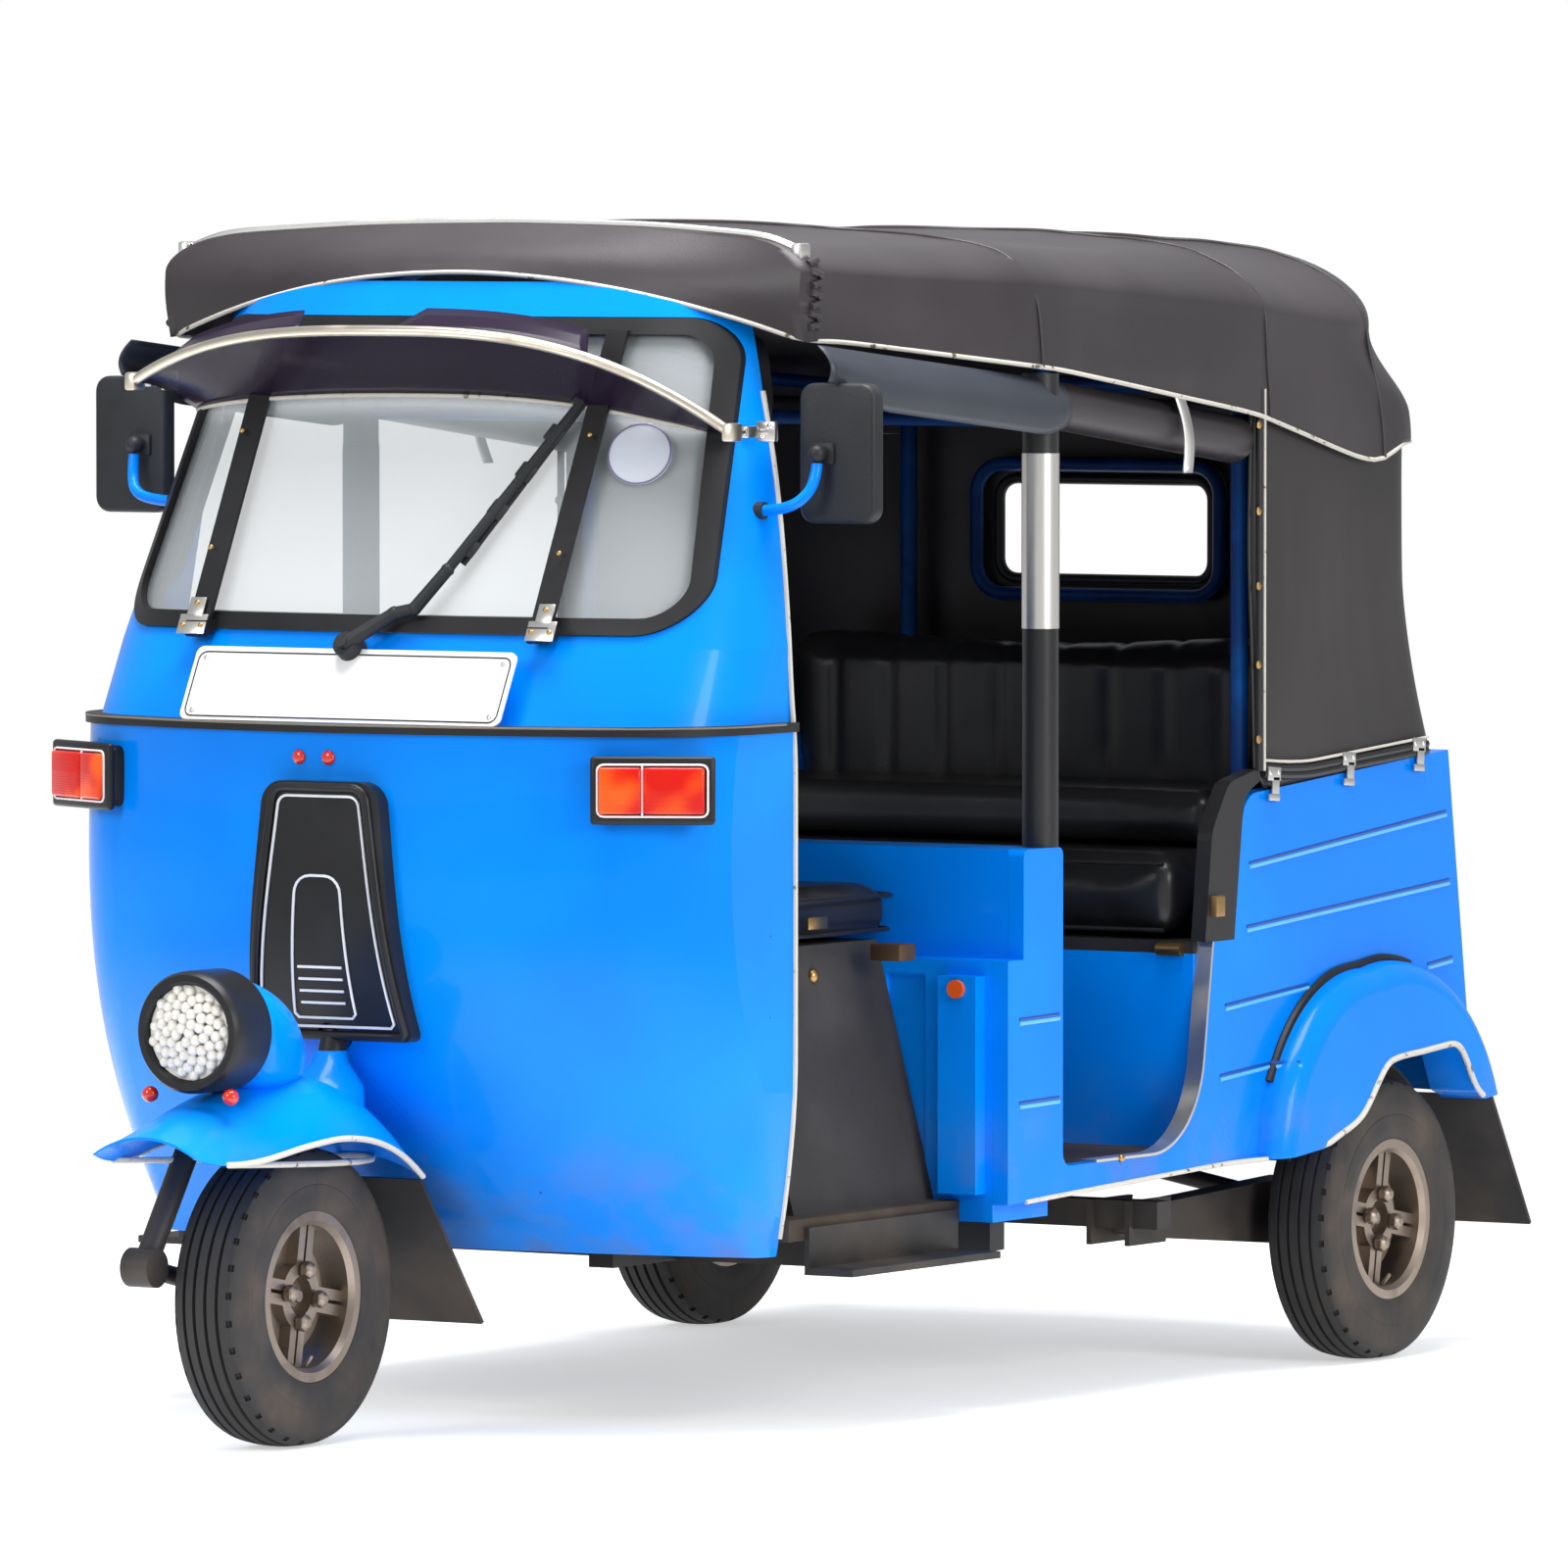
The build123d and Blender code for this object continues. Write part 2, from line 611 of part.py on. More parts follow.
# columns: inner edge, outer edge, how far proud, added or cut
partition_folds = (
    (500.0, 562.0, 26.0, Mode.ADD),
    (400.0, 464.0, -7.0, Mode.SUBTRACT),
)
with BuildPart() as partition:
    with BuildSketch(Plane.YZ.offset(-inner_half)):
        Polygon(
            (aft(post_front), floor_top - floor_thick), (aft(post_rear), floor_top - floor_thick),
            (aft(post_rear), post_top), (aft(post_front + ledge_step), post_top),
            (aft(post_front + ledge_step), ledge_height), (aft(post_front), ledge_height), align=None)
    extrude(amount=2 * inner_half)
    for inner, outer, proud, mode in partition_folds:
        with BuildSketch(Plane.XZ.offset(-aft(post_front))):
            for side in (left, right):
                with Locations((side * (inner + outer) / 2, (fold_low + fold_high) / 2)):
                    Rectangle(outer - inner, fold_high - fold_low)
        extrude(amount=proud, mode=mode)
finish(partition.part, "partition")

driver_front, driver_bottom, driver_thick = 512.0, ledge_height + 25.0, 80.0
base_front, base_foot, base_head = 560.0, 478.0, 384.0
with BuildPart() as driver_seat_base:
    with BuildSketch(Plane.XZ.offset(-aft(base_front))):
        base_top = driver_bottom - seat_gap
        Polygon((-base_foot, floor_top), (base_foot, floor_top),
                (base_head, base_top), (-base_head, base_top), align=None)
    extrude(amount=-(post_front - base_front - seat_gap))
finish(driver_seat_base.part, "driver_seat_base")

driver_rear = post_front + ledge_step - 4.0
with BuildPart() as driver_seat:
    with Locations((0, aft((driver_front + driver_rear) / 2), driver_bottom + driver_thick / 2)):
        Box(800.0, driver_rear - driver_front, driver_thick)
    fillet(driver_seat.edges().filter_by(Axis.Z), 50.0)
    fillet(driver_seat.edges().group_by(Axis.Z)[-1], 26.0)
finish(driver_seat.part, "driver_seat")

# Metal strips on the doorway's rear edge and sill.
strip_front, strip_thick, strip_proud, strip_bend = 1180.0, 4.0, 2.0, 150.0
with BuildPart() as jamb_trims:
    for side in (left, right):
        for inset in (0.0, strip_thick):
            low, foot = rear_floor_top + inset, jamb_foot - inset
            with BuildSketch(Plane.YZ.offset(side * (half_body - panel))) as outline:
                Polygon(
                    (aft(jamb_high - inset), ledge_height), (aft(foot), low),
                    (aft(strip_front), low), (aft(strip_front), ledge_height), align=None)
                fillet(outline.vertices().sort_by_distance((aft(foot), low, 0))[0], strip_bend - inset)
            extrude(amount=side * (panel + strip_proud), mode=Mode.SUBTRACT if inset else Mode.ADD)
finish(jamb_trims.part, "jamb_trims")

bulkhead_thick = 15.0
bulkhead_low, bulkhead_high = rear_floor_top - floor_thick, deck_height - deck_thick
with BuildPart() as engine_bulkhead:
    with Locations((0, aft(deck_front + bulkhead_thick / 2), (bulkhead_low + bulkhead_high) / 2)):
        Box(2 * inner_half, bulkhead_thick, bulkhead_high - bulkhead_low)
finish(engine_bulkhead.part, "engine_bulkhead")

with BuildPart() as engine_deck:
    with Locations((0, aft((deck_front + tub_rear_high) / 2), deck_height - deck_thick / 2)):
        Box(2 * inner_half, tub_rear_high - deck_front, deck_thick)
finish(engine_deck.part, "engine_deck")

# The passengers' bench: two cushions on the deck and a backrest behind them.
# columns: width, length, height, station of the middle, corner radius, edge radius
lower_cushion = (1082.0, 486.0, 125.4, 1745.0, 30.0, 24.0)
upper_cushion = (1040.0, 340.0, 84.0, 1815.0, 30.0, 26.0)


def cushion_block(size, bottom):
    """Box cushion with rounded corners and top edges, standing on `bottom`."""
    width, length, height, station, corner, edge = size
    with BuildPart() as block:
        with Locations((0, aft(station), bottom + height / 2)):
            Box(width, length, height)
        fillet(block.edges().filter_by(Axis.Z), corner)
        fillet(block.edges().group_by(Axis.Z)[-1], edge)
    return block.part


lower_top = deck_height + seat_gap + lower_cushion[2]
finish(cushion_block(lower_cushion, deck_height + seat_gap), "passenger_seat_lower")
finish(cushion_block(upper_cushion, lower_top + seat_gap), "passenger_seat_upper")

back_half, back_height = 430.0, 425.0
with BuildPart() as passenger_backrest:
    with BuildSketch(Plane.YZ.offset(-back_half)):
        back_low = deck_height + seat_gap
        back_top = back_low + back_height
        Polygon((aft(1992.0), back_low), (aft(2066.0), back_low),
                (aft(2110.0), back_top), (aft(2046.0), back_top),
                align=None)
    extrude(amount=2 * back_half)
    fillet(passenger_backrest.edges().filter_by(Axis.X).group_by(Axis.Z)[-1], 24.0)
finish(passenger_backrest.part, "passenger_backrest")

# Back of the tub: a panel bowed in plan between the sides, and the engine lid hinged on it.
rear_low_height, rear_high_height = 380.0, 892.0
rear_bow = 80.0
rear_lean = (tub_rear_low - tub_rear_high) / (rear_high_height - rear_low_height)


def rear_face(height):
    """Station of the tub's rear corners at a height."""
    return tub_rear_low - (height - rear_low_height) * rear_lean


def rear_band(low, high, inner, outer):
    """Bowed band on the tub's back from `inner` to `outer` behind its face, between two heights."""
    with BuildPart() as band:
        for height in (low, high):
            corner = aft(rear_face(height))
            with BuildSketch(Plane.XY.offset(height)):
                with BuildLine() as line:
                    near, far = corner + inner, corner + outer
                    ThreePointArc((-inner_half, near), (0, near + rear_bow), (inner_half, near))
                    Line((inner_half, near), (inner_half, far))
                    ThreePointArc((inner_half, far), (0, far + rear_bow), (-inner_half, far))
                    Line((-inner_half, far), (-inner_half, near))
                make_face(line.edges())
        loft(ruled=True)
    return band.part


def upright_box(x, width, low, high):
    """Solid that runs fore and aft through the tub's back, seen from behind as a rectangle."""
    with BuildPart() as box:
        with Locations((x, aft(tub_rear_high), (low + high) / 2)):
            Box(width, 500.0, high - low)
    return box.part


lid_half, lid_low, lid_high, lid_proud = 500.0, 396.0, 722.0, 26.0
hinge_height = lid_high + 14.0
hinge_y = aft(rear_face(hinge_height)) + rear_bow + 13.0
hinge_x, ear_space, ear_thick, pin_radius, knuckle_radius = 200.0, 34.0, 5.0, 4.0, 9.0
with BuildPart() as rear_panel:
    add(rear_band(rear_low_height, rear_high_height, -20.0, 0.0))
    add(upright_box(0, 2 * (lid_half - 40.0), lid_low + 40.0, lid_high - 40.0), mode=Mode.SUBTRACT)
    for x in (-hinge_x, hinge_x):
        for ear_x in (x - ear_space / 2 - ear_thick, x + ear_space / 2):
            with BuildSketch(Plane.YZ.offset(ear_x)):
                with Locations((hinge_y - 20.0, hinge_height)):
                    Rectangle(40.0, 2 * knuckle_radius)
                with Locations((hinge_y, hinge_height)):
                    Circle(knuckle_radius)
            extrude(amount=ear_thick)
        with BuildSketch(Plane.YZ.offset(x - ear_space / 2 - ear_thick)):
            with Locations((hinge_y, hinge_height)):
                Circle(pin_radius)
        extrude(amount=ear_space + 2 * ear_thick)
finish(rear_panel.part, "rear_panel")

with BuildPart() as engine_lid:
    add(rear_band(lid_low, lid_high, 1.5, lid_proud))
    add(upright_box(0, 2 * lid_half, lid_low, lid_high), mode=Mode.INTERSECT)
    for x in (-hinge_x, hinge_x):
        with BuildSketch(Plane.YZ.offset(x - ear_space / 2 + 1.0)):
            with Locations((hinge_y, hinge_height)):
                Circle(knuckle_radius)
            with Locations((hinge_y, hinge_height - 16.0)):
                Rectangle(9.0, 20.0)
            with Locations((hinge_y, hinge_height)):
                Circle(pin_radius + 0.1, mode=Mode.SUBTRACT)
        extrude(amount=ear_space - 2.0)
finish(engine_lid.part, "engine_lid")

with BuildPart() as tail_lamps:
    add(rear_band(768.0, 844.0, seat_gap, 30.0))
    with Locations((0, aft(tub_rear_low), 806.0)):
        Box(680.0, 600.0, 90.0, mode=Mode.SUBTRACT)
    add(upright_box(0, 980.0, 760.0, 850.0), mode=Mode.INTERSECT)
finish(tail_lamps.part, "tail_lamps")

with BuildPart() as rear_plate:
    add(rear_band(750.0, 866.0, seat_gap, 6.0))
    add(upright_box(0, 320.0, 750.0, 866.0), mode=Mode.INTERSECT)
finish(rear_plate.part, "rear_plate")

band_outline = (
    (1492.0, ledge_height + seat_gap), (1576.0, ledge_height + seat_gap), (quarter_front, belt_front - 3.0),
    (1648.0, 866.0), (1640.0, 884.0), (1560.0, 868.0), (1512.0, 800.0),
)
with BuildPart() as quarter_bands:
    for side in (left, right):
        add(side_slab(band_outline, half_body, panel - 1.0, side, ((2, 44.0), (5, 40.0), (6, 60.0))))
    add(side_panel_left, mode=Mode.SUBTRACT)
    add(side_panel_right, mode=Mode.SUBTRACT)
finish(quarter_bands.part, "quarter_bands")

# ================================================================ chassis, engine and rear arms
rail_low, rail_top = 225.0, floor_top - floor_thick - seat_gap
kick_top = deck_height - deck_thick - 22.0
kick_low = kick_top - 40.0
rail_outline = (
    (450.0, rail_low), (1690.0, rail_low), (1790.0, kick_low), (2236.0, kick_low), (2236.0, kick_top),
    (1760.0, kick_top), (1662.0, rail_top), (450.0, rail_top),
)
bracket_outline = ((1440.0, 200.0), (1545.0, 200.0), (1560.0, 265.0), (1440.0, 265.0))
bracket_thick = 8.0
arm_inner, arm_outer = 440.0, 496.0       # the arms' brackets stand either side of them
engine_low, engine_station = 260.0, 2010.0
engine_high = deck_height - deck_thick - 62.0
with BuildPart() as chassis_frame:
    for side in (left, right):
        add(side_slab(rail_outline, 250.0, 40.0, side))
    for station in (640.0, 1000.0, 1470.0):
        with Locations((0, aft(station), 245.0)):
            Box(1020.0 if station < 900 else 2 * inner_half - 60.0, 40.0, 40.0)
    with Locations((0, aft(1690.0), 300.0)):
        Box(500.0, 30.0, 50.0)
    for station in (engine_station - 100.0, engine_station + 100.0):
        with Locations((0, aft(station), (kick_top + engine_high + seat_gap) / 2)):
            Box(500.0, 30.0, kick_top - engine_high - seat_gap)
    for x in (arm_inner - bracket_thick, arm_outer):
        for side in (left, right):
            add(side_slab(bracket_outline, x + bracket_thick, bracket_thick, side))
finish(chassis_frame.part, "chassis_frame")

with BuildPart() as engine:
    with Locations((0, aft(engine_station), (engine_low + engine_high) / 2)):
        Box(320.0, 340.0, engine_high - engine_low)
finish(engine.part, "engine")

with BuildPart() as silencer:
    with Locations(Location((0, aft(2238.0), 318.0), (0, 90, 0))):
        Cylinder(46.0, 520.0)
    fillet(silencer.edges(), 16.0)
    add(tube_run([(60.0, aft(2180.0 + seat_gap), 318.0), (60.0, aft(2220.0), 318.0)], 16.0))
    add(tube_run([(-60.0, aft(2180.0 + seat_gap), 318.0), (-60.0, aft(2220.0), 318.0)], 10.0))
finish(silencer.part, "silencer")

with BuildPart() as rear_arms:
    for side in (left, right):
        with BuildSketch(Plane.YZ.offset(side * 446.0)):
            Polygon(
                (aft(1502.0), 212.0), (aft(1530.0), 206.0), (aft(1960.0), 168.0), (aft(2050.0), 178.0),
                (aft(2050.0), 245.0), (aft(1950.0), 270.0),
                (aft(1530.0), 254.0), (aft(1502.0), 246.0), align=None)
        extrude(amount=side * 44.0)
        with BuildSketch(Plane.YZ.offset(side * (arm_inner + seat_gap))):
            with Locations((aft(1518.0), 229.0)):
                Circle(22.0)
        extrude(amount=side * (arm_outer - arm_inner - 2 * seat_gap))
        hub = Plane(origin=(side * 490.0, rear_axle_y, tyre_radius), x_dir=(0, 1, 0), z_dir=(side, 0, 0))
        with BuildSketch(hub):
            Circle(36.0)
        extrude(amount=track / 2 - 36.0 - moving_gap - 490.0)
        with BuildSketch(hub):
            Circle(axle_radius)
        extrude(amount=track / 2 - 10.0 - 490.0)
        add(tube_run([(side * 168.0, aft(engine_station), 275.0), (side * 452.0, rear_axle_y, 225.0)], 13.0))
finish(rear_arms.part, "rear_arms")

with BuildPart() as rear_mudflaps:
    for side in (left, right):
        with BuildSketch(Plane.YZ.offset(side * 508.0)):
            Polygon(
                (aft(2273.0), 376.0), (aft(2279.0), 376.0), (aft(wheelbase + rear_overhang), 178.0),
                (aft(wheelbase + rear_overhang - 5.0), 175.0), align=None)
        extrude(amount=side * 132.0)
finish(rear_mudflaps.part, "rear_mudflaps")

# ================================================================ roof frame
post_x, post_station = 576.0, 1066.0
rear_post_x, rear_post_station = 558.0, 1662.0
post_sleeve_radius, tube_radius = 27.0, 13.0
hoop_station, hoop_x, hoop_top = 2160.0, 305.0, 1430.0
sleeve_low, sleeve_high, padding_high = 1105.0, 1353.0, 1466.0
padding_radius = 26.0


def post_tubes(spans, radius):
    """Tubes on both doorway posts, one for each (low, high) span of height."""
    with BuildPart() as tubes:
        for low, high in spans:
            with BuildSketch(Plane.XY.offset(low)):
                with Locations((post_x, aft(post_station)), (-post_x, aft(post_station))):
                    Circle(radius)
                    Circle(tube_radius + seat_gap, mode=Mode.SUBTRACT)
            extrude(amount=high - low)
    return tubes.part


finish(post_tubes(((sleeve_low, sleeve_high),), post_sleeve_radius), "post_sleeves")

# Hoops. columns: half width at the foot, station, foot, knee, shoulder half width and height, crown, radius
roof_hoops = (
    (post_x, post_station, post_top, 1500.0, 530.0, 1585.0, 1630.0),
    (rear_post_x, rear_post_station, deck_height, 1480.0, 524.0, 1570.0, 1616.0),
)
rail_radius, crown_half = 10.0, 430.0
with BuildPart() as roof_frame:
    for x, station, foot, knee, shoulder_x, shoulder_z, crown_z in roof_hoops:
        half = [(x, foot + seat_gap), (x, knee), (shoulder_x, shoulder_z), (crown_half, crown_z)]
        hoop = [(-px, aft(station), pz) for px, pz in half]
        hoop += [(px, aft(station), pz) for px, pz in reversed(half)]
        add(tube_run(hoop, tube_radius))
    rear_hoop = [(-hoop_x, deck_height + seat_gap), (-hoop_x, hoop_top), (hoop_x, hoop_top),
                 (hoop_x, deck_height + seat_gap)]
    add(tube_run([(px, aft(hoop_station), pz) for px, pz in rear_hoop], tube_radius))
    for side in (left, right):
        add(tube_run([(side * 452.0, aft(600.0), 1540.0), (side * 540.0, aft(760.0), 1538.0),
                      (side * 564.0, aft(post_station), 1525.0),
                      (side * 555.0, aft(rear_post_station), 1490.0),
                      (side * 536.0, aft(2050.0), hoop_top + 10.0),
                      (side * (hoop_x - 16.0), aft(hoop_station), hoop_top - 16.0)], rail_radius, bend=90.0))
    add(tube_run([(-post_x, aft(post_station), 1400.0), (post_x, aft(post_station), 1400.0)], rail_radius))
finish(roof_frame.part, "roof_frame")

padding_spans = ((post_top + seat_gap, sleeve_low - seat_gap), (sleeve_high + seat_gap, padding_high))
with BuildPart() as post_padding:
    add(post_tubes(padding_spans, padding_radius))
    add(roof_frame.part, mode=Mode.SUBTRACT)
finish(post_padding.part, "post_padding")

# ================================================================ soft top
# Roof: arched sections along its length. columns: station, half width, crown, eaves, shoulder radius
roof_sections = (
    (424.0, 518.0, 1679.0, 1652.0, 84.0),
    (700.0, 560.0, 1680.0, 1650.0, 100.0),
    (1100.0, 602.0, 1678.0, 1640.0, 120.0),
    (1650.0, 606.0, 1669.0, 1626.0, 120.0),
    (2300.0, 606.0, 1652.0, 1604.0, 130.0),
)
roof_base = 1200.0
header_front, header_corner, header_half = 428.0, 508.0, 519.0
# Skirt: plan outlines down the soft sides. columns: height, half width, rear corner, rear centre, radius
skirt_sections = (
    (848.0, 597.5, 2218.0, 2293.0, 34.0),
    (1135.0, 597.5, 2104.0, 2250.0, 60.0),
    (1500.0, 593.0, 2084.0, 2232.0, 84.0),
)


def roof_form(inset):
    """The roof's outer form drawn in by `inset`: arched sections, bowed in plan at both ends."""
    with BuildPart() as form:
        for station, half, crown, eaves, radius in roof_sections:
            with BuildSketch(Plane.XZ.offset(-aft(station))) as outline:
                side, top = half - inset, eaves - inset
                with BuildLine():
                    Polyline((-side, top), (-side, roof_base), (side, roof_base), (side, top))
                    ThreePointArc((side, top), (0, crown - inset), (-side, top))
                make_face()
                fillet(outline.vertices().sort_by(Axis.Y)[-2:], radius - inset)
        loft(ruled=True)
        with BuildSketch(Plane.XY.offset(roof_base)) as plan:
            with BuildLine():
                front, corner = aft(header_front) + inset, aft(header_corner) + inset
                rear, rear_corner = aft(2262.0) - inset, aft(2112.0) - inset
                ThreePointArc((-header_half - 90, corner + 26), (0, front), (header_half + 90, corner + 26))
                Line((header_half + 90, corner + 26), (609.0 - inset, rear_corner))
                ThreePointArc((609.0 - inset, rear_corner), (0, rear), (inset - 609.0, rear_corner))
                Line((inset - 609.0, rear_corner), (-header_half - 90, corner + 26))
            make_face()
            fillet(plan.vertices().sort_by(Axis.Y)[-2:], 84.0 - inset)
        extrude(amount=600.0, mode=Mode.INTERSECT)
        with BuildSketch(Plane.YZ.offset(-700.0)) as profile:
            Polygon(
                (aft(400.0) + inset, roof_base), (aft(2262.0) - inset, roof_base),
                (aft(2262.0) - inset, 1656.0 - inset), (aft(506.0) + inset, 1684.0 - inset),
                (aft(430.0) + inset, 1612.0), align=None)
            fillet(profile.vertices().sort_by_distance((aft(2262.0), 1656.0, 0))[:1], 150.0 - inset)
        extrude(amount=1400.0, mode=Mode.INTERSECT)
    return form.part


def skirt_form(inset):
    with BuildPart() as form:
        for height, half, corner, centre, radius in skirt_sections:
            with BuildSketch(Plane.XY.offset(height)) as outline:
                side = half - inset
                with BuildLine() as line:
                    Polyline((side, aft(corner) - inset), (side, aft(1500.0)), (-side, aft(1500.0)),
                             (-side, aft(corner) - inset))
                    ThreePointArc((-side, aft(corner) - inset), (0, aft(centre) - inset),
                                  (side, aft(corner) - inset))
                make_face()
                fillet(outline.vertices().sort_by(Axis.Y)[-2:], radius - inset)
        loft(ruled=True)
    return form.part


roof_edge = ((508.0, 1522.0), (1074.0, 1472.0), (1631.0, 1400.0),
             (1975.0, 1322.0), (2060.0, 1352.0), (2300.0, 1352.0))
roof_region = side_region(((380.0, 1510.0), *roof_edge, (2300.0, 1760.0), (380.0, 1760.0)))
roof_outer, roof_inner = roof_form(0.0), roof_form(vinyl)
with BuildPart() as canopy_top:
    add(roof_outer)
    add(roof_inner, mode=Mode.SUBTRACT)
    add(roof_region, mode=Mode.INTERSECT)
    add(header_arch(0.0, 380.0, 530.0, 1500.0), mode=Mode.SUBTRACT)
finish(canopy_top.part, "canopy_top")

skirt_outer, skirt_inner = skirt_form(0.0), skirt_form(vinyl)
curtain_front, curtain_split = 1640.0, 2070.0


def belt_height(station):
    """Height of the tub's top edge at a station."""
    rise = (belt_rear - belt_front + 3.0) / (tub_rear_high - quarter_front)
    return belt_front - 3.0 + (station - quarter_front) * rise


for word, side in (("left", left), ("right", right)):
    with BuildPart() as quarter_curtain:
        add(skirt_outer)
        add(skirt_inner, mode=Mode.SUBTRACT)
        add(side_region((
            (curtain_front, belt_height(curtain_front) + 36.0),
            (curtain_front + 22.0, belt_height(1662.0) + seat_gap),
            (curtain_split, belt_height(curtain_split) + seat_gap),
            (curtain_split, 1470.0), (curtain_front, 1470.0))),
            mode=Mode.INTERSECT)
        with Locations((side * 300.0, aft(1800.0), 1200.0)):
            Box(600.0, 1200.0, 1200.0, mode=Mode.INTERSECT)
    finish(quarter_curtain.part, f"quarter_curtain_{word}")

with BuildPart() as rear_curtain:
    add(skirt_outer)
    add(skirt_inner, mode=Mode.SUBTRACT)
    add(side_region((
        (curtain_split + seat_gap, belt_height(curtain_split) + seat_gap),
        (tub_rear_high, belt_rear + seat_gap), (2330.0, belt_rear + seat_gap),
        (2330.0, 1440.0), (curtain_split + seat_gap, 1440.0))), mode=Mode.INTERSECT)
    with BuildSketch(Plane.XZ.offset(-aft(2000.0))) as window:
        with Locations((0, 1210.0)):
            Rectangle(370.0, 150.0)
        fillet(window.vertices(), 24.0)
    extrude(amount=-400.0, mode=Mode.SUBTRACT)
    add(rear_panel.part, mode=Mode.SUBTRACT)
finish(rear_curtain.part, "rear_curtain")

# Front rail: a metal strip that nails the roof's front edge down.
with BuildPart() as front_rail:
    add(roof_form(-3.0))
    add(roof_outer, mode=Mode.SUBTRACT)
    with BuildSketch(Plane.XZ.offset(-aft(504.0))):
        with Locations((0, 1660.0)):
            Rectangle(900.0, 100.0)
    extrude(amount=-20.0, mode=Mode.INTERSECT)
finish(front_rail.part, "front_rail")

# Rolled-up side curtains under the canopy's edge.
roll_x, roll_radius = 562.0, 34.0
with BuildPart() as rolled_curtains:
    for side in (left, right):
        roll_ends = [(side * roll_x, aft(1106.0), 1422.0), (side * roll_x, aft(curtain_front - 3.0), 1362.0)]
        add(tube_run(roll_ends, roll_radius))
finish(rolled_curtains.part, "rolled_curtains")

# ================================================================ fittings on the cab
visor_half, visor_crown, visor_drop, visor_thick = 466.0, 1546.0, 158.0, 4.0
visor_sag = 24.0            # from the visor's middle to the ends of its arch
visor_foot = visor_crown - visor_drop
visor_corner = 0.9 * (visor_drop - visor_sag)
with BuildPart() as sun_visor:
    for inset in (0.0, visor_thick):
        with BuildSketch(Plane.XZ.offset(-aft(200.0))) as arch:
            with BuildLine():
                side, top = visor_half - inset, visor_crown - visor_sag - inset
                Polyline((-side, top), (-side, visor_foot), (side, visor_foot), (side, top))
                ThreePointArc((side, top), (0, visor_crown - inset), (-side, top))
            make_face()
            fillet(arch.vertices().sort_by(Axis.Y)[-2:], visor_corner - inset)
        extrude(amount=-300.0, mode=Mode.SUBTRACT if inset else Mode.ADD)
    with BuildSketch(Plane.XY.offset(visor_foot - 10.0)) as plan:
        with BuildLine():
            ThreePointArc((-visor_half - 1, aft(330.0)), (0, aft(228.0)), (visor_half + 1, aft(330.0)))
            Polyline((visor_half + 1, aft(330.0)), (visor_half + 1, aft(490.0)),
                     (-visor_half - 1, aft(490.0)),
                     (-visor_half - 1, aft(330.0)))
        make_face()
        fillet(plan.vertices().sort_by(Axis.Y)[:2], 60.0)
    extrude(amount=visor_drop + 42.0, mode=Mode.INTERSECT)
    add(side_region(((200.0, visor_crown - 46.0), (430.0, visor_foot), (500.0, visor_foot),
                     (500.0, 1600.0), (200.0, 1600.0))),
        mode=Mode.INTERSECT)
    add(gasket_outer, mode=Mode.SUBTRACT)
finish(sun_visor.part, "sun_visor")

for word, side in (("left", left), ("right", right)):
    with BuildPart() as mirror:
        mirror_plane = Plane(origin=(side * 590.0, aft(492.0), 1363.0), x_dir=(1, 0, 0), z_dir=(0, 1, 0))
        with BuildSketch(mirror_plane) as face:
            Rectangle(118.0, 194.0)
            fillet(face.vertices(), 16.0)
        extrude(amount=22.0)
        add(tube_run([(side * 470.0, aft(462.0), 1290.0), (side * 588.0, aft(462.0), 1290.0),
                      (side * 588.0, aft(462.0), 1352.0), (side * 588.0, aft(496.0), 1356.0)],
                     6.0, bend=16.0))
        add(cab_shell.part, mode=Mode.SUBTRACT)
    finish(mirror.part.solids().sort_by(SortBy.VOLUME)[-1], f"mirror_{word}")

# Straps that hold the visor's arms: each stands on a foot on the gasket and ends under the visor.
strap_x, strap_foot, strap_top = 283.0, (205.0, 1104.0), (404.0, 1512.0)
strap_slope = atan2(strap_top[1] - strap_foot[1], strap_top[0] - strap_foot[0])
strap_length, strap_width, strap_thick = 478.0, 34.0, 6.0
with BuildPart() as visor_straps:
    for side in (left, right):
        foot = (side * strap_x, aft(strap_foot[0]), strap_foot[1])
        with BuildSketch(Plane(origin=foot, x_dir=(1, 0, 0), z_dir=(0, cos(strap_slope), sin(strap_slope)))):
            Rectangle(strap_width, strap_thick)
        extrude(amount=strap_length)
        with Locations((foot[0], foot[1] + 16.0, foot[2] + 12.0)):
            Box(strap_width, 32.0, 20.0)
    add(gasket_outer, mode=Mode.SUBTRACT)
    add(sun_visor.part, mode=Mode.SUBTRACT)
finish(visor_straps.part, "visor_straps")

with BuildPart() as wiper:
    with BuildSketch(Plane(origin=(0, aft(196.0), 1097.0), x_dir=(1, 0, 0), z_dir=(0, -1, 0.45))):
        Circle(17.0)
    extrude(amount=26.0)
    wiper_line = [(0, aft(180.0), 1104.0), (66.0, aft(184.0), 1130.0), (252.0, aft(318.0), 1420.0)]
    add(tube_run(wiper_line, 7.0, bend=30.0))
    add(gasket_outer, mode=Mode.SUBTRACT)
    add(plate_solid, mode=Mode.SUBTRACT)
finish(wiper.part, "wiper")
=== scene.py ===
# %% [markdown]
# # An auto rickshaw, dressed
# The construction is already there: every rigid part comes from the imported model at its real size.
# This notebook gives each part its finish, adds what is too fine or too soft for the construction,
# and sets a camera and a plain studio. All lengths are in metres. X runs across to the vehicle's
# left, Y runs to its rear, and the wheels stand on Z = 0.

# %% Load the frame
import math

import bmesh
import bpy
from mathutils import Matrix, Vector, noise
from mathutils.bvhtree import BVHTree


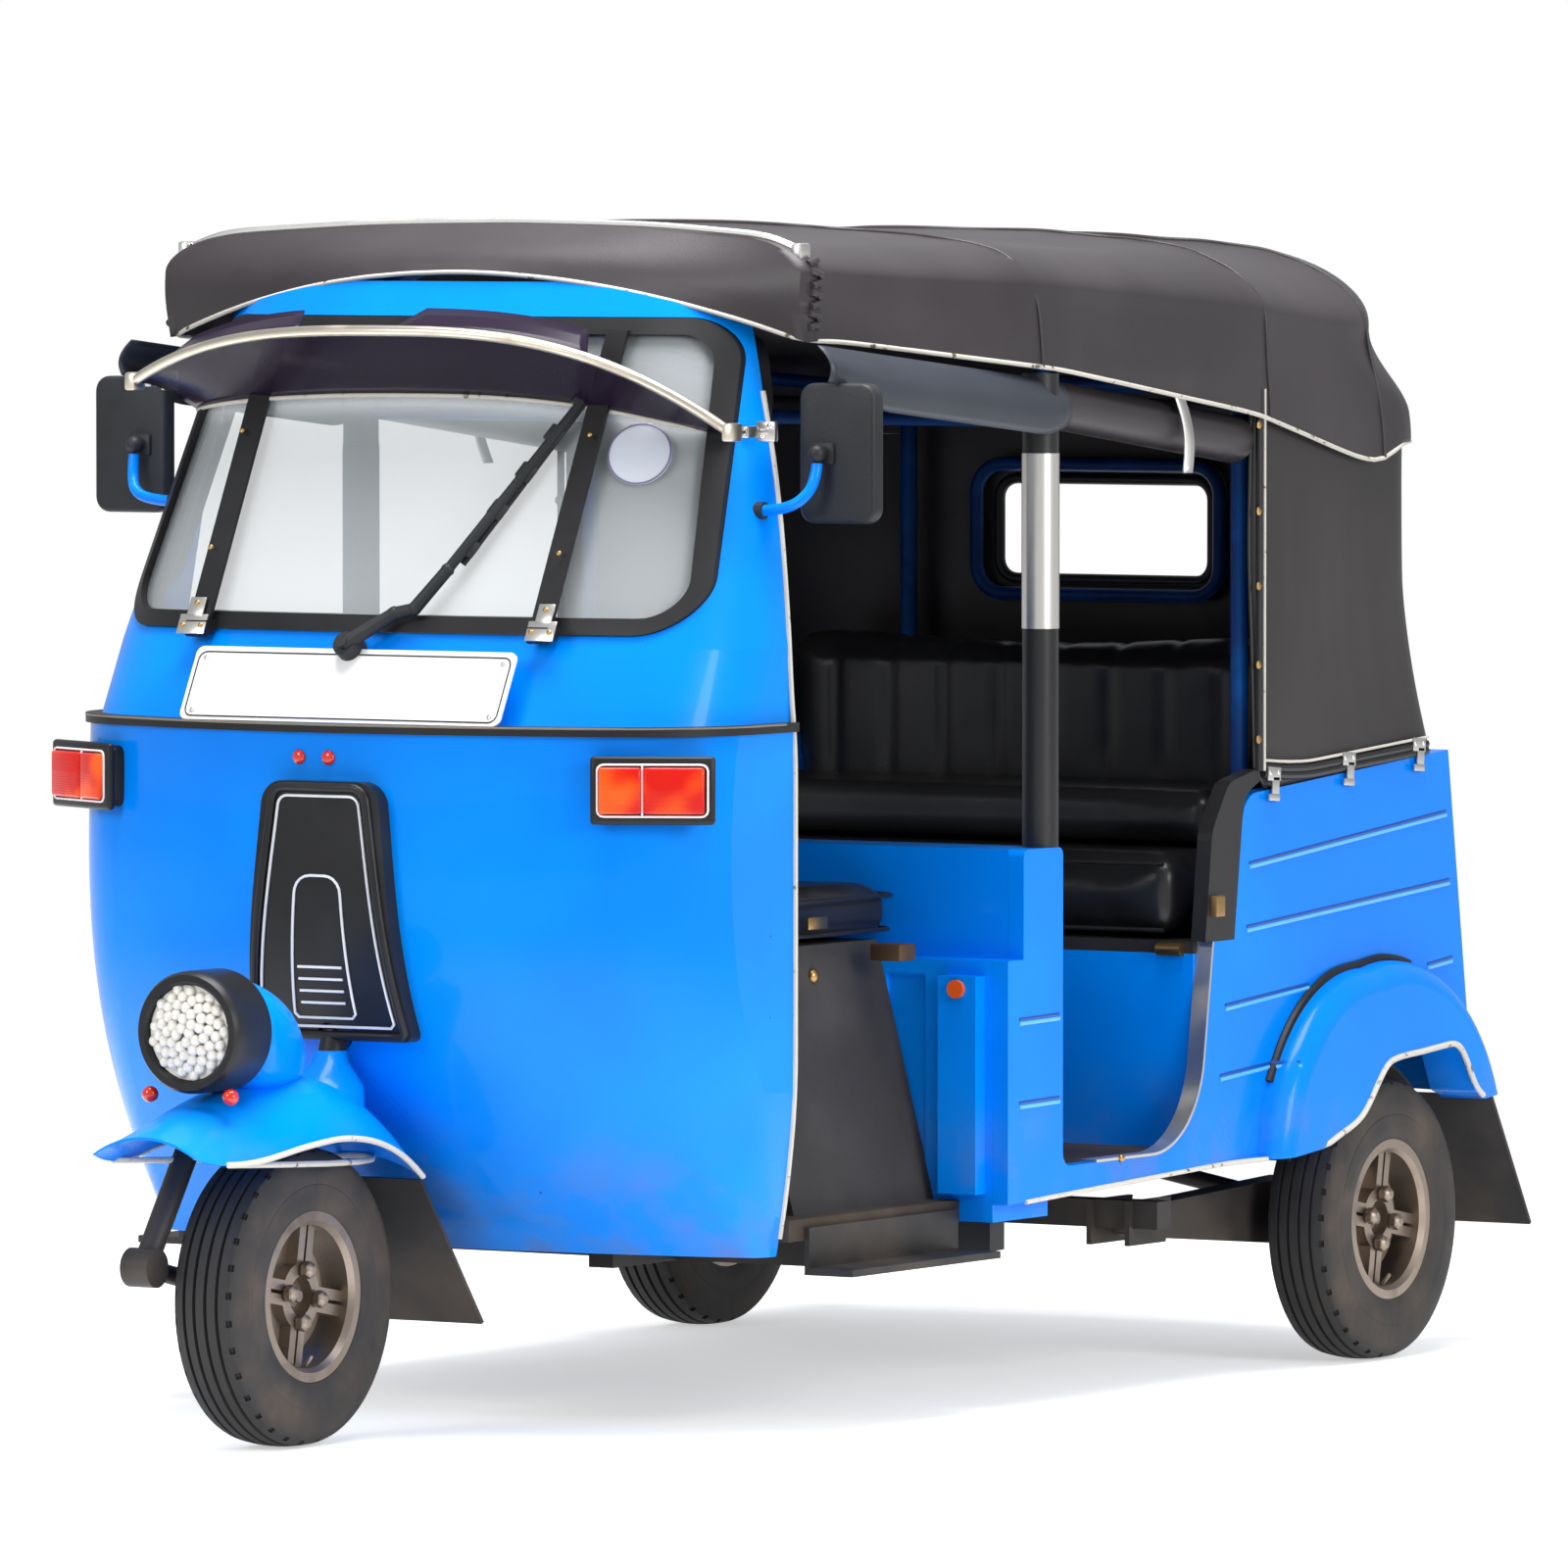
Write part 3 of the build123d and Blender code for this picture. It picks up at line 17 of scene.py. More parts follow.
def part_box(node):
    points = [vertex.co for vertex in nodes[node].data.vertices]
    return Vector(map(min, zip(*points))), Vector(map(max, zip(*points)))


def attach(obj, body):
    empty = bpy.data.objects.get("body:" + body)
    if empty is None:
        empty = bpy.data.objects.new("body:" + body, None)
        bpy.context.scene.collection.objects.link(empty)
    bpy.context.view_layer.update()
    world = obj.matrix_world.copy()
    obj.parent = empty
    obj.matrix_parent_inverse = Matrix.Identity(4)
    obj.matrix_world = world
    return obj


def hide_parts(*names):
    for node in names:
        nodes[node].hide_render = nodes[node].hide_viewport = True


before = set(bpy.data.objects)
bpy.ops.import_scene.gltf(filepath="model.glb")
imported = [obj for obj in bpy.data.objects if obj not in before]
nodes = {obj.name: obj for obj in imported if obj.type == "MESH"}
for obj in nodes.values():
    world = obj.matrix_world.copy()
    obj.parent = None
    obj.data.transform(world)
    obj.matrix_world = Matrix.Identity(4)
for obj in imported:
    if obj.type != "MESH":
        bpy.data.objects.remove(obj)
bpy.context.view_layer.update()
print(len(nodes), "nodes from the construction")

# %% [markdown]
# ## Places
# A vehicle is measured in stations: distances behind the front axle. The axle's own place is read
# from the front tyre's box, so that all stations follow the construction.

# %% Stations and sides
tyre_low, tyre_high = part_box("front_tyre")
front_axle = (tyre_low.y + tyre_high.y) / 2
tyre_radius = (tyre_high.z - tyre_low.z) / 2
LEFT, RIGHT = 1, -1


def aft(distance):
    """The Y of a station, given in metres behind the front axle."""
    return front_axle + distance


print("front axle at", round(front_axle, 3), "tyre radius", round(tyre_radius, 3))

# %% [markdown]
# ## Writing materials
# Shader maths is easier to read as plain expressions than as a wall of nodes. `Value` wraps a
# socket, and its operators add Math nodes. `Finish` makes one material: `node` adds any other kind.

# %% Values and finishes
class Value:
    """A number that varies over a surface."""

    def __init__(self, finish, socket):
        self.finish, self.socket = finish, socket

    def math(self, operation, first, second, third=None, clamp=False):
        settings = {"operation": operation, "use_clamp": clamp}
        sockets = {0: first, 1: second}
        if third is not None:
            sockets[2] = third
        return self.finish.node("ShaderNodeMath", settings, sockets)

    def __add__(self, other):
        return self.math("ADD", self, other)

    def __radd__(self, other):
        return self.math("ADD", other, self)

    def __sub__(self, other):
        return self.math("SUBTRACT", self, other)

    def __rsub__(self, other):
        return self.math("SUBTRACT", other, self)

    def __mul__(self, other):
        return self.math("MULTIPLY", self, other)

    def __rmul__(self, other):
        return self.math("MULTIPLY", other, self)

    def __truediv__(self, other):
        return self.math("DIVIDE", self, other)

    def root(self):
        return self.math("SQRT", self, 0.0)

    def ramp(self, low, high):
        """0 below low, 1 above high, smooth between."""
        settings = {"interpolation_type": "SMOOTHSTEP"}
        sockets = {"Value": self, "From Min": low, "From Max": high}
        return self.finish.node("ShaderNodeMapRange", settings, sockets)


class Finish:
    """One material, with its shader at hand."""

    def __init__(self, name, colour, roughness, metallic=0.0, **constants):
        self.material = bpy.data.materials.new(name)
        self.material.use_nodes = True
        self.tree = self.material.node_tree
        self.shader = self.tree.nodes["Principled BSDF"]
        self.colour = (*colour, 1.0)
        self.set("Base Color", self.colour)
        self.set("Roughness", roughness)
        self.set("Metallic", metallic)
        for socket, value in constants.items():
            self.set(socket.replace("_", " "), value)

    def set(self, socket, value):
        if isinstance(value, Value):
            self.tree.links.new(value.socket, self.shader.inputs[socket])
        else:
            self.shader.inputs[socket].default_value = value

    def node(self, kind, settings=None, sockets=None, output=0):
        made = self.tree.nodes.new(kind)
        for name, value in (settings or {}).items():
            if name == "stops":
                made.color_ramp.elements[0].position, made.color_ramp.elements[0].color = value[0]
                made.color_ramp.elements[1].position, made.color_ramp.elements[1].color = value[1]
            else:
                setattr(made, name, value)
        for name, value in (sockets or {}).items():
            if isinstance(value, Value):
                self.tree.links.new(value.socket, made.inputs[name])
            else:
                made.inputs[name].default_value = value
        return Value(self, made.outputs[output])

    def place(self):
        return self.node("ShaderNodeTexCoord", output="Object")

    def axis(self, letter):
        return self.node("ShaderNodeSeparateXYZ", None, {0: self.place()}, output=letter)

    def noise(self, scale, detail=4.0, stretch=None, rough=0.5):
        where = self.place()
        if stretch:
            where = self.node("ShaderNodeMapping", None, {"Vector": where, "Scale": stretch})
        sockets = {"Vector": where, "Scale": scale, "Detail": detail, "Roughness": rough}
        return self.node("ShaderNodeTexNoise", None, sockets)

    def cells(self, scale, feature="F1"):
        sockets = {"Vector": self.place(), "Scale": scale}
        return self.node("ShaderNodeTexVoronoi", {"feature": feature}, sockets)

    def mix(self, first, second, factor):
        """A blend of two colours."""
        colours = [c if isinstance(c, Value) else (*c, 1.0)[:4] for c in (first, second)]
        settings = {"data_type": "RGBA"}
        return self.node("ShaderNodeMix", settings, {0: factor, 6: colours[0], 7: colours[1]}, output=2)

    def bump(self, height, strength, distance):
        sockets = {"Height": height, "Strength": strength, "Distance": distance}
        self.set("Normal", self.node("ShaderNodeBump", None, sockets))

    def paint(self, *names):
        """Gives CAD nodes this finish."""
        for name in names:
            mesh = nodes[name].data
            mesh.materials.clear()
            mesh.materials.append(self.material)
        return self


print("material tools ready")

# %% [markdown]
# ## Body paint
# The body is sprayed a bright sky blue, with a thin clear gloss. On a working vehicle it is never
# even: the colour drifts a little, road dust sits low down, and stone chips show the primer. Noise
# drives all three, and Voronoi cells with a high threshold give the few sharp chips.

# %% Body paint
BLUE = (0.0, 0.245, 0.93)
DUST = (0.21, 0.15, 0.10)


def body_paint(name, chip_limit=0.035):
    paint = Finish(name, BLUE, 0.3, Coat_Roughness=0.05, Specular_IOR_Level=0.1)
    drift = paint.noise(2.2, 3.0)
    shade = paint.mix((0.0, 0.215, 0.87), (0.0, 0.275, 0.97), drift.ramp(0.3, 0.7))
    low_down = 1 - paint.axis("Z").ramp(0.20, 0.50)
    dust = low_down * paint.noise(9.0, 6.0).ramp(0.42, 0.75) * 0.5
    dusty = paint.mix(shade, DUST, dust)
    chips = (1 - paint.cells(17.0).ramp(chip_limit - 0.012, chip_limit)) * paint.noise(3.1).ramp(0.55, 0.62)
    paint.set("Base Color", paint.mix(dusty, (0.02, 0.018, 0.016), chips))
    paint.set("Roughness", 0.24 + dust * 0.5 + chips * 0.4)
    paint.set("Coat Weight", 0.14 * (1 - dust) * (1 - chips))
    paint.bump(paint.noise(38.0, 2.0), 0.04, 0.002)
    return paint


blue_paint = body_paint("blue_paint")
blue_paint.paint("cab_shell", "front_fender", "side_panel_left", "side_panel_right", "partition",
                 "engine_bulkhead", "rear_panel", "engine_lid")
blue_frame = body_paint("blue_frame", 0.05)
# The roof hoops and the rear window's frame get a blue much darker than the body paint: painted shade for
# tubes that sit under the hood. Noise patches lighten and darken this painted shade at random.
shaded_hoop_blue = Finish("shaded_hoop_blue", (0.0, 0.035, 0.16), 0.5, Specular_IOR_Level=0.2)
hoop_shade_patches = shaded_hoop_blue.noise(7.0, 5.0).ramp(0.45, 0.75)
shaded_hoop_blue.set("Base Color", shaded_hoop_blue.mix((0.0, 0.03, 0.14), (0.0, 0.09, 0.36), hoop_shade_patches))
shaded_hoop_blue.paint("roof_frame")
print("body paint on the panels and tubes")

# %% [markdown]
# ## Blacks, rubbers and metals
# Most of what isn't blue is black, and it reads as real only when each black differs: satin enamel
# on the frame, grained vinyl on the hood and seats, dusty rubber on tyres and flaps.

# %% Blacks
def satin_black(name, colour, roughness, grain=60.0, depth=0.05, dust_share=0.0, dust_top=0.5):
    black = Finish(name, colour, roughness, Specular_IOR_Level=0.26)
    wear = black.noise(5.0, 5.0)
    light = tuple(min(1.0, c * 1.7 + 0.004) for c in colour)
    shade = black.mix(colour, light, wear.ramp(0.35, 0.75))
    if dust_share:
        low_down = 1 - black.axis("Z").ramp(0.1, dust_top)
        shade = black.mix(shade, DUST, low_down * wear.ramp(0.3, 0.8) * dust_share)
    black.set("Base Color", shade)
    black.set("Roughness", roughness + wear * 0.12)
    black.bump(black.noise(grain, 3.0), depth * 4, 0.001)
    return black


frame_black = satin_black("frame_black", (0.016, 0.016, 0.017), 0.42, 90.0, 0.04, 0.35)
frame_black.paint("steering_fork", "handlebar", "wheelhouses", "chassis_frame", "rear_arms", "engine_deck",
                  "door_steps")
flap_rubber = satin_black("flap_rubber", (0.020, 0.020, 0.021), 0.55, 120.0, 0.06, 0.4)
flap_rubber.paint("front_mudflap", "rear_mudflaps")
seal_rubber = satin_black("seal_rubber", (0.010, 0.010, 0.011), 0.38, 80.0, 0.03)
seal_rubber.paint("windscreen_gasket", "waist_trim", "visor_straps")
black_plastic = satin_black("black_plastic", (0.016, 0.017, 0.019), 0.42, 220.0, 0.08)
black_plastic.paint("mirror_left", "mirror_right", "wiper")
black_panel = satin_black("black_panel", (0.010, 0.010, 0.011), 0.3, 40.0, 0.02)
black_panel.paint("nose_cover")
lamp_black = satin_black("lamp_black", (0.012, 0.012, 0.013), 0.34, 70.0, 0.03)
lamp_black.paint("headlamp")
cast_metal = satin_black("cast_metal", (0.10, 0.095, 0.088), 0.6, 60.0, 0.12, 0.5)
cast_metal.paint("engine", "silencer")
print("blacks done")

# %% Vinyl and mats
def vinyl(name, colour, roughness, sheen=0.0):
    cloth = Finish(name, colour, roughness, Specular_IOR_Level=0.35, Sheen_Weight=sheen)
    patches = cloth.noise(3.0, 4.0)
    light = tuple(c * 1.45 for c in colour)
    cloth.set("Base Color", cloth.mix(colour, light, patches.ramp(0.3, 0.75)))
    cloth.set("Roughness", roughness + patches * 0.14)
    grain = cloth.cells(420.0) * 0.5 + cloth.noise(30.0, 5.0)
    cloth.bump(grain, 0.18, 0.0012)
    return cloth


hood_vinyl = vinyl("hood_vinyl", (0.034, 0.029, 0.032), 0.34)
hood_vinyl.paint("canopy_top", "rolled_curtains")
curtain_vinyl = vinyl("curtain_vinyl", (0.026, 0.023, 0.023), 0.4)
curtain_vinyl.paint("quarter_curtain_left", "quarter_curtain_right", "rear_curtain")
trim_vinyl = vinyl("trim_vinyl", (0.012, 0.012, 0.013), 0.34)
trim_vinyl.paint("quarter_bands", "post_padding")
apron = satin_black("apron", (0.034, 0.032, 0.032), 0.62, 150.0, 0.2)
apron.paint("driver_seat_base")
seat_vinyl = vinyl("seat_vinyl", (0.015, 0.015, 0.016), 0.26)
seat_vinyl.paint("driver_seat", "passenger_seat_lower", "passenger_seat_upper", "passenger_backrest")
floor_mat = satin_black("floor_mat", (0.022, 0.017, 0.014), 0.62, 50.0, 0.1, 0.5, 0.6)
floor_mat.paint("floor_pan", "rear_floor")
print("vinyl and mats done")

# %% Metals
def metal(name, colour, roughness, dirt=(0.10, 0.06, 0.035), dirty=0.35):
    bare = Finish(name, colour, roughness, metallic=1.0)
    stain = bare.noise(11.0, 6.0).ramp(0.5, 0.8) * dirty
    bare.set("Base Color", bare.mix(colour, dirt, stain))
    bare.set("Metallic", 1 - stain * 0.8)
    bare.set("Roughness", roughness + stain * 0.5)
    bare.bump(bare.noise(140.0, 2.0), 0.05, 0.0006)
    return bare


aluminium = metal("aluminium", (0.62, 0.61, 0.59), 0.38)
aluminium.paint("jamb_trims", "front_rail")
steel_sleeve = metal("steel_sleeve", (0.70, 0.68, 0.64), 0.28, dirty=0.5)
post_metal = metal("post_metal", (0.70, 0.68, 0.64), 0.28, dirty=0.5)
shaded = 1 - post_metal.axis("X").ramp(-0.1, 0.1)
post_metal.set("Base Color", post_metal.mix((0.66, 0.64, 0.60), (0.02, 0.02, 0.022), shaded))
post_metal.set("Metallic", 1 - shaded * 0.9)
post_metal.set("Roughness", 0.3 + shaded * 0.4)
post_metal.paint("post_sleeves")
alloy = metal("alloy", (0.30, 0.245, 0.20), 0.42, (0.05, 0.035, 0.025), 0.75)
alloy.paint("front_rim", "rear_rim_left", "rear_rim_right")
brass = metal("brass", (0.42, 0.26, 0.10), 0.35, (0.05, 0.03, 0.015), 0.5)
print("metals done")

# %% Lamps, plates and glass
plate_white = Finish("plate_white", (0.86, 0.86, 0.86), 0.35)
plate_white.paint("number_plate", "rear_plate")
lens_red = Finish("lens_red", (0.72, 0.02, 0.004), 0.16, Coat_Weight=0.6)
lens_red.paint("front_indicators", "tail_lamps")
cream_bead = Finish("cream_bead", (0.62, 0.59, 0.52), 0.4)
worn = cream_bead.noise(60.0, 5.0).ramp(0.62, 0.7)
cream_bead.set("Base Color", cream_bead.mix((0.62, 0.59, 0.52), (0.12, 0.08, 0.05), worn))

clear_glass = Finish("clear_glass", (0.62, 0.66, 0.68), 0.03, Alpha=0.34, Coat_Weight=0.5)
clear_glass.paint("windscreen_glass")
visor_tint = Finish("visor_tint", (0.016, 0.008, 0.024), 0.22, Alpha=0.86, Specular_IOR_Level=0.18)
visor_tint.paint("sun_visor")
print("lamps, plates and glass done")

# %% [markdown]
# ## Helpers for new pieces
# A new piece starts as a bmesh, is shaped by operators, and ends as an object at the origin with
# its place in its mesh. `add_wire` turns a list of points into a round bar, and `add_dome` makes
# the head of a rivet.

# %% Making a piece
def piece(name, shape, finish, body="chassis", replaces=(), slot=None, sharp=35.0, extra=()):
    bmesh.ops.recalc_face_normals(shape, faces=shape.faces)
    data = bpy.data.meshes.new(name)
    shape.to_mesh(data)
    shape.free()
    data.materials.append(finish.material)
    for other in extra:
        data.materials.append(other.material)
    data.shade_smooth()
    data.set_sharp_from_angle(angle=math.radians(sharp))
    made = bpy.data.objects.new(name, data)
    bpy.context.scene.collection.objects.link(made)
    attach(made, body)
    if replaces:
        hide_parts(*replaces)
    return made


def add_box(shape, centre, size, bevel=0.0, turn=None, segments=2):
    """A box with rounded edges, joined to a bmesh. `turn` is a matrix about its centre."""
    place = Matrix.Translation(centre) @ (turn or Matrix.Identity(4)) @ Matrix.Diagonal((*size, 1))
    made = bmesh.ops.create_cube(shape, size=1.0, matrix=place)
    if bevel:
        edges = {edge for vert in made["verts"] for edge in vert.link_edges}
        bmesh.ops.bevel(shape, geom=list(edges), offset=bevel, segments=segments, profile=0.5,
                        affect="EDGES", material=-1)
    return made


def add_rod(shape, start, end, radius, end_radius=None, sides=16):
    """A straight round bar between two points."""
    start, end = Vector(start), Vector(end)
    along = end - start
    place = Matrix.Translation((start + end) / 2) @ along.to_track_quat("Z", "Y").to_matrix().to_4x4()
    far_radius = radius if end_radius is None else end_radius
    return bmesh.ops.create_cone(shape, cap_ends=True, segments=sides, radius1=radius, radius2=far_radius,
                                 depth=along.length, matrix=place)


def add_dome(shape, centre, radius, flat=1.0, aim=(0, 0, 1), detail=2):
    """A small rounded head that faces `aim`."""
    turn = Vector(aim).to_track_quat("Z", "Y").to_matrix().to_4x4()
    place = Matrix.Translation(centre) @ turn @ Matrix.Diagonal((1, 1, flat, 1))
    return bmesh.ops.create_icosphere(shape, subdivisions=detail, radius=radius, matrix=place)


def add_wire(shape, points, radius, closed=False, smooth=True, resolution=6, sides=4):
    """A round bar along a smooth line through the points."""
    curve = bpy.data.curves.new("wire", "CURVE")
    curve.dimensions = "3D"
    curve.bevel_depth, curve.bevel_resolution, curve.resolution_u = radius, sides, resolution
    curve.use_fill_caps = True
    line = curve.splines.new("NURBS" if smooth else "POLY")
    line.points.add(len(points) - 1)
    for point, place in zip(line.points, points):
        point.co = (*place, 1)
    line.use_cyclic_u = closed
    if smooth:
        line.order_u = min(3, len(points))
        line.use_endpoint_u = not closed
    holder = bpy.data.objects.new("wire", curve)
    mesh = bpy.data.meshes.new_from_object(holder)
    shape.from_mesh(mesh)
    bpy.data.objects.remove(holder)
    bpy.data.curves.remove(curve)
    bpy.data.meshes.remove(mesh)


def modifier(made, kind, **settings):
    added = made.modifiers.new(kind.lower(), kind)
    for name, value in settings.items():
        setattr(added, name, value)
    return added


def between(table, at, column):
    """The value of a column of a table at a place, on straight lines between its rows."""
    for low, high in zip(table, table[1:]):
        if at <= high[0]:
            share = max(0.0, (at - low[0]) / (high[0] - low[0]))
            return low[column] + (high[column] - low[column]) * share
    return table[-1][column]


def ease(value, low, high):
    """0 below low, 1 above high, smooth between."""
    share = min(1.0, max(0.0, (value - low) / (high - low)))
    return share * share * (3 - 2 * share)


print("piece tools ready")

# %% [markdown]
# ## Tyres
# A small tyre has four grooves round its tread, a rounded shoulder with short cuts, and rings on
# its sidewall. All of it but the cuts is one profile, so a spin makes the tyre, and the cuts are
# shoulder faces pushed in. The distance from the hub is kept as an attribute, so that dust can
# gather on the sidewall in every tyre alike.

# %% Tyre rubber
tyre_rubber = Finish("tyre_rubber", (0.018, 0.016, 0.015), 0.75)
from_hub = tyre_rubber.node("ShaderNodeAttribute", {"attribute_name": "from_hub"}, output="Fac")
grime = tyre_rubber.noise(14.0, 6.0)
side_dust = (1 - from_hub.ramp(0.185, 0.204)) * grime.ramp(0.25, 0.8) * 0.55 + grime.ramp(0.5, 0.8) * 0.16
tyre_rubber.set("Base Color", tyre_rubber.mix((0.016, 0.015, 0.015), (0.105, 0.078, 0.058), side_dust))
tyre_rubber.set("Roughness", 0.62 + grime * 0.2)
tyre_rubber.bump(tyre_rubber.noise(160.0, 4.0), 0.12, 0.001)

# %% Tyre profile, spun
TREAD_HALF, WALL_HALF, BEAD = 0.040, 0.052, 0.1125
GROOVES = (-0.0265, -0.009, 0.009, 0.0265)


def tread_radius(x):
    return tyre_radius - 0.0045 * (x / TREAD_HALF) ** 2


def tyre_profile():
    """Across and radius of the profile's points, from one bead to the other."""
    side = [(0.042, BEAD), (0.0465, 0.118), (0.0490, 0.1195), (0.0495, 0.124), (0.0505, 0.126),
            (0.0518, 0.140), (WALL_HALF, 0.154), (0.0512, 0.1555), (0.0517, 0.158), (0.0515, 0.172),
            (0.0495, 0.188), (0.0465, 0.1985), (0.0445, 0.2015), (TREAD_HALF, tread_radius(TREAD_HALF))]
    crown = []
    for groove in GROOVES:
        for offset, depth in ((-0.0028, 0), (-0.0016, 0.0055), (0.0016, 0.0055), (0.0028, 0)):
            x = groove + offset
            crown.append((x, tread_radius(x) - depth))
    return [(-x, r) for x, r in side] + crown + [(x, r) for x, r in reversed(side)]


def tyre(name, x, y, body, replaced):
    shape = bmesh.new()
    centre = Vector((x, y, tyre_radius))
    points = [shape.verts.new(centre + Vector((across_x, 0, r))) for across_x, r in tyre_profile()]
    edges = [shape.edges.new(pair) for pair in zip(points, points[1:])]
    bmesh.ops.spin(shape, geom=points + edges, cent=centre, axis=(1, 0, 0), dvec=(0, 0, 0),
                   angle=2 * math.pi, steps=132, space=Matrix.Identity(4), use_merge=True,
                   use_duplicate=False)
    bmesh.ops.recalc_face_normals(shape, faces=shape.faces)
    cuts = []
    for face in shape.faces:
        middle = face.calc_center_median() - centre
        outer = math.hypot(middle.y, middle.z)
        turn = round((math.atan2(middle.z, middle.y) % (2 * math.pi)) / (2 * math.pi) * 132 - 0.5)
        if 0.0465 > abs(middle.x) > 0.0404 and outer > 0.199 and turn % 4 == 0:
            cuts.append(face)
    bmesh.ops.inset_individual(shape, faces=cuts, thickness=0.0007, depth=-0.0035)
    made = piece(name, shape, tyre_rubber, body, (replaced,), "tyre", sharp=28.0)
    field = made.data.attributes.new("from_hub", "FLOAT", "POINT")
    for vert in made.data.vertices:
        field.data[vert.index].value = math.hypot(vert.co.y - y, vert.co.z - tyre_radius)
    return made


axles = {}
for node, body in (("front_tyre", "front_wheel"), ("rear_tyre_left", "rear_wheel_left"),
                   ("rear_tyre_right", "rear_wheel_right")):
    low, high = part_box(node)
    axles[body] = ((low.x + high.x) / 2, (low.y + high.y) / 2)
    made = tyre("treaded_" + node, *axles[body], body, node)
print("tyres have", len(made.data.polygons), "faces each")

# %% [markdown]
# ## Wheel nuts
# The cast wheels have an open middle ringed by four fat nuts on studs. The nuts and the axle's
# crown nut are six-sided cones with bevelled edges.

# %% Nuts and valve
def wheel_nuts(name, x, y, body, outward):
    shape = bmesh.new()
    for turn in range(4):
        angle = math.radians(80 + 90 * turn)
        spot = Vector((x, y + 0.0365 * math.cos(angle), tyre_radius + 0.0365 * math.sin(angle)))
        base, shoulder, tip = (spot + Vector((outward * reach, 0, 0)) for reach in (0.030, 0.041, 0.046))
        add_rod(shape, base, shoulder, 0.0125, sides=6)
        add_rod(shape, shoulder, tip, 0.011, 0.006)
    hub, nut_end, stub_end = ((x + outward * reach, y, tyre_radius) for reach in (-0.012, 0.016, 0.026))
    add_rod(shape, hub, nut_end, 0.017, sides=6)
    add_rod(shape, hub, stub_end, 0.0085)
    valve = Vector((x + outward * 0.034, y, tyre_radius - 0.097))
    add_rod(shape, valve, valve + Vector((outward * 0.012, 0, 0.016)), 0.0035, 0.003, 10)
    made = piece(name, shape, alloy, body)
    modifier(made, "BEVEL", width=0.0012, segments=2, limit_method="ANGLE")


wheel_nuts("front_wheel_nuts", *axles["front_wheel"], "front_wheel", LEFT)
wheel_nuts("left_wheel_nuts", *axles["rear_wheel_left"], "rear_wheel_left", LEFT)
wheel_nuts("right_wheel_nuts", *axles["rear_wheel_right"], "rear_wheel_right", RIGHT)
print("nuts on three wheels")

# %% [markdown]
# ## The hood
# The hood is a single vinyl skin stretched over steel hoops. It starts as a cube without a
# bottom, cut into a fine grid, and three steps shape it: every corner is rounded as on a rounded
# box, the box is bent to the hoops' heights and widths, and the skin sinks a little between hoops.
# One skin with one grid shades smoothly, which separate panels wouldn't.

# %% Hood sizes
# columns: station, half width, crown, eaves
HOOD_ROWS = ((0.424, 0.520, 1.679, 1.655), (0.700, 0.560, 1.680, 1.650), (1.100, 0.602, 1.678, 1.640),
             (1.650, 0.606, 1.669, 1.626), (2.300, 0.606, 1.650, 1.604))
# columns: station, height of the lower edge along the side and back
HOOD_EDGE = ((0.508, 1.522), (1.074, 1.472), (1.631, 1.400), (1.935, 1.330), (1.990, 1.322), (2.050, 1.352),
             (2.300, 1.352))
HOOD_HOOPS = (0.520, 1.013, 1.649, 1.978)
HOOD_FRONT, HOOD_REAR, HOOD_BASE, HOOD_TOP, HOOD_HALF = 0.430, 2.262, 1.300, 1.680, 0.606
RAIL_STATION, RAIL_BOW = 0.506, 0.017
SHOULDER_FRONT, SHOULDER_REAR = Vector((0.130, 0.240, 0.125)), Vector((0.250, 0.240, 0.130))


def front_arch(x):
    """Height of the hood's lower edge over the windscreen."""
    return 1.611 - 0.095 * (x / 0.530) ** 2


def rounded_box(x, station, z):
    """Moves a point of a sharp box onto one with rounded edges, which grow towards the rear."""
    round_by = SHOULDER_FRONT.lerp(SHOULDER_REAR, ease(station, 1.3, 2.1))
    tight = 0.35 + 0.65 * ease(z, HOOD_BASE + 0.06, HOOD_TOP - 0.14)
    round_by = Vector((round_by.x * tight, round_by.y * tight, round_by.z))
    inner_half, inner_rear, inner_top = HOOD_HALF - round_by.x, HOOD_REAR - round_by.y, HOOD_TOP - round_by.z
    core = Vector((max(-inner_half, min(inner_half, x)), min(inner_rear, station), min(inner_top, z)))
    out = Vector(((x - core.x) / round_by.x, (station - core.y) / round_by.y, (z - core.z) / round_by.z))
    if out.length < 1e-6:
        return x, station, z
    reach = max(abs(v) for v in out) / out.length
    return tuple(core[i] + out[i] * reach * round_by[i] for i in range(3))


def hood_point(vert):
    x, station, z = rounded_box(vert.x, vert.y, vert.z)
    share_x = x / HOOD_HALF
    up = (z - HOOD_BASE) / (HOOD_TOP - HOOD_BASE)
    along = (station - HOOD_FRONT) / (HOOD_REAR - HOOD_FRONT)
    front_low = HOOD_FRONT + 0.078 * share_x ** 2
    front_high = RAIL_STATION + RAIL_BOW * (1 - share_x ** 2)
    puff = 0.016 * math.sin(math.pi * min(1.0, up)) * (1 - ease(along, 0.0, 0.06))
    front = front_low + (front_high - front_low) * min(1.0, up * 1.02) - puff
    lobe = 0.024 * ease(abs(share_x), 0.7, 0.95) * (1 - ease(up, 0.0, 0.55))
    rear = HOOD_REAR - 0.150 * share_x ** 2 - 0.012 * (1 - up) + lobe
    station = front + along * (rear - front)
    half = between(HOOD_ROWS, station, 1) + 0.010 * ease(station, 1.9, 2.1) * (1 - ease(up, 0.0, 0.5))
    crown, eaves = between(HOOD_ROWS, station, 2), between(HOOD_ROWS, station, 3)
    roof_top = crown - (crown - eaves) * share_x ** 2
    is_front = 1 - ease(along, 0.0, 0.03)
    lower_edge = is_front * front_arch(share_x * half) + (1 - is_front) * between(HOOD_EDGE, station, 1)
    z = lower_edge + up * (roof_top - lower_edge)
    return Vector((share_x * half, station, z)), up, share_x


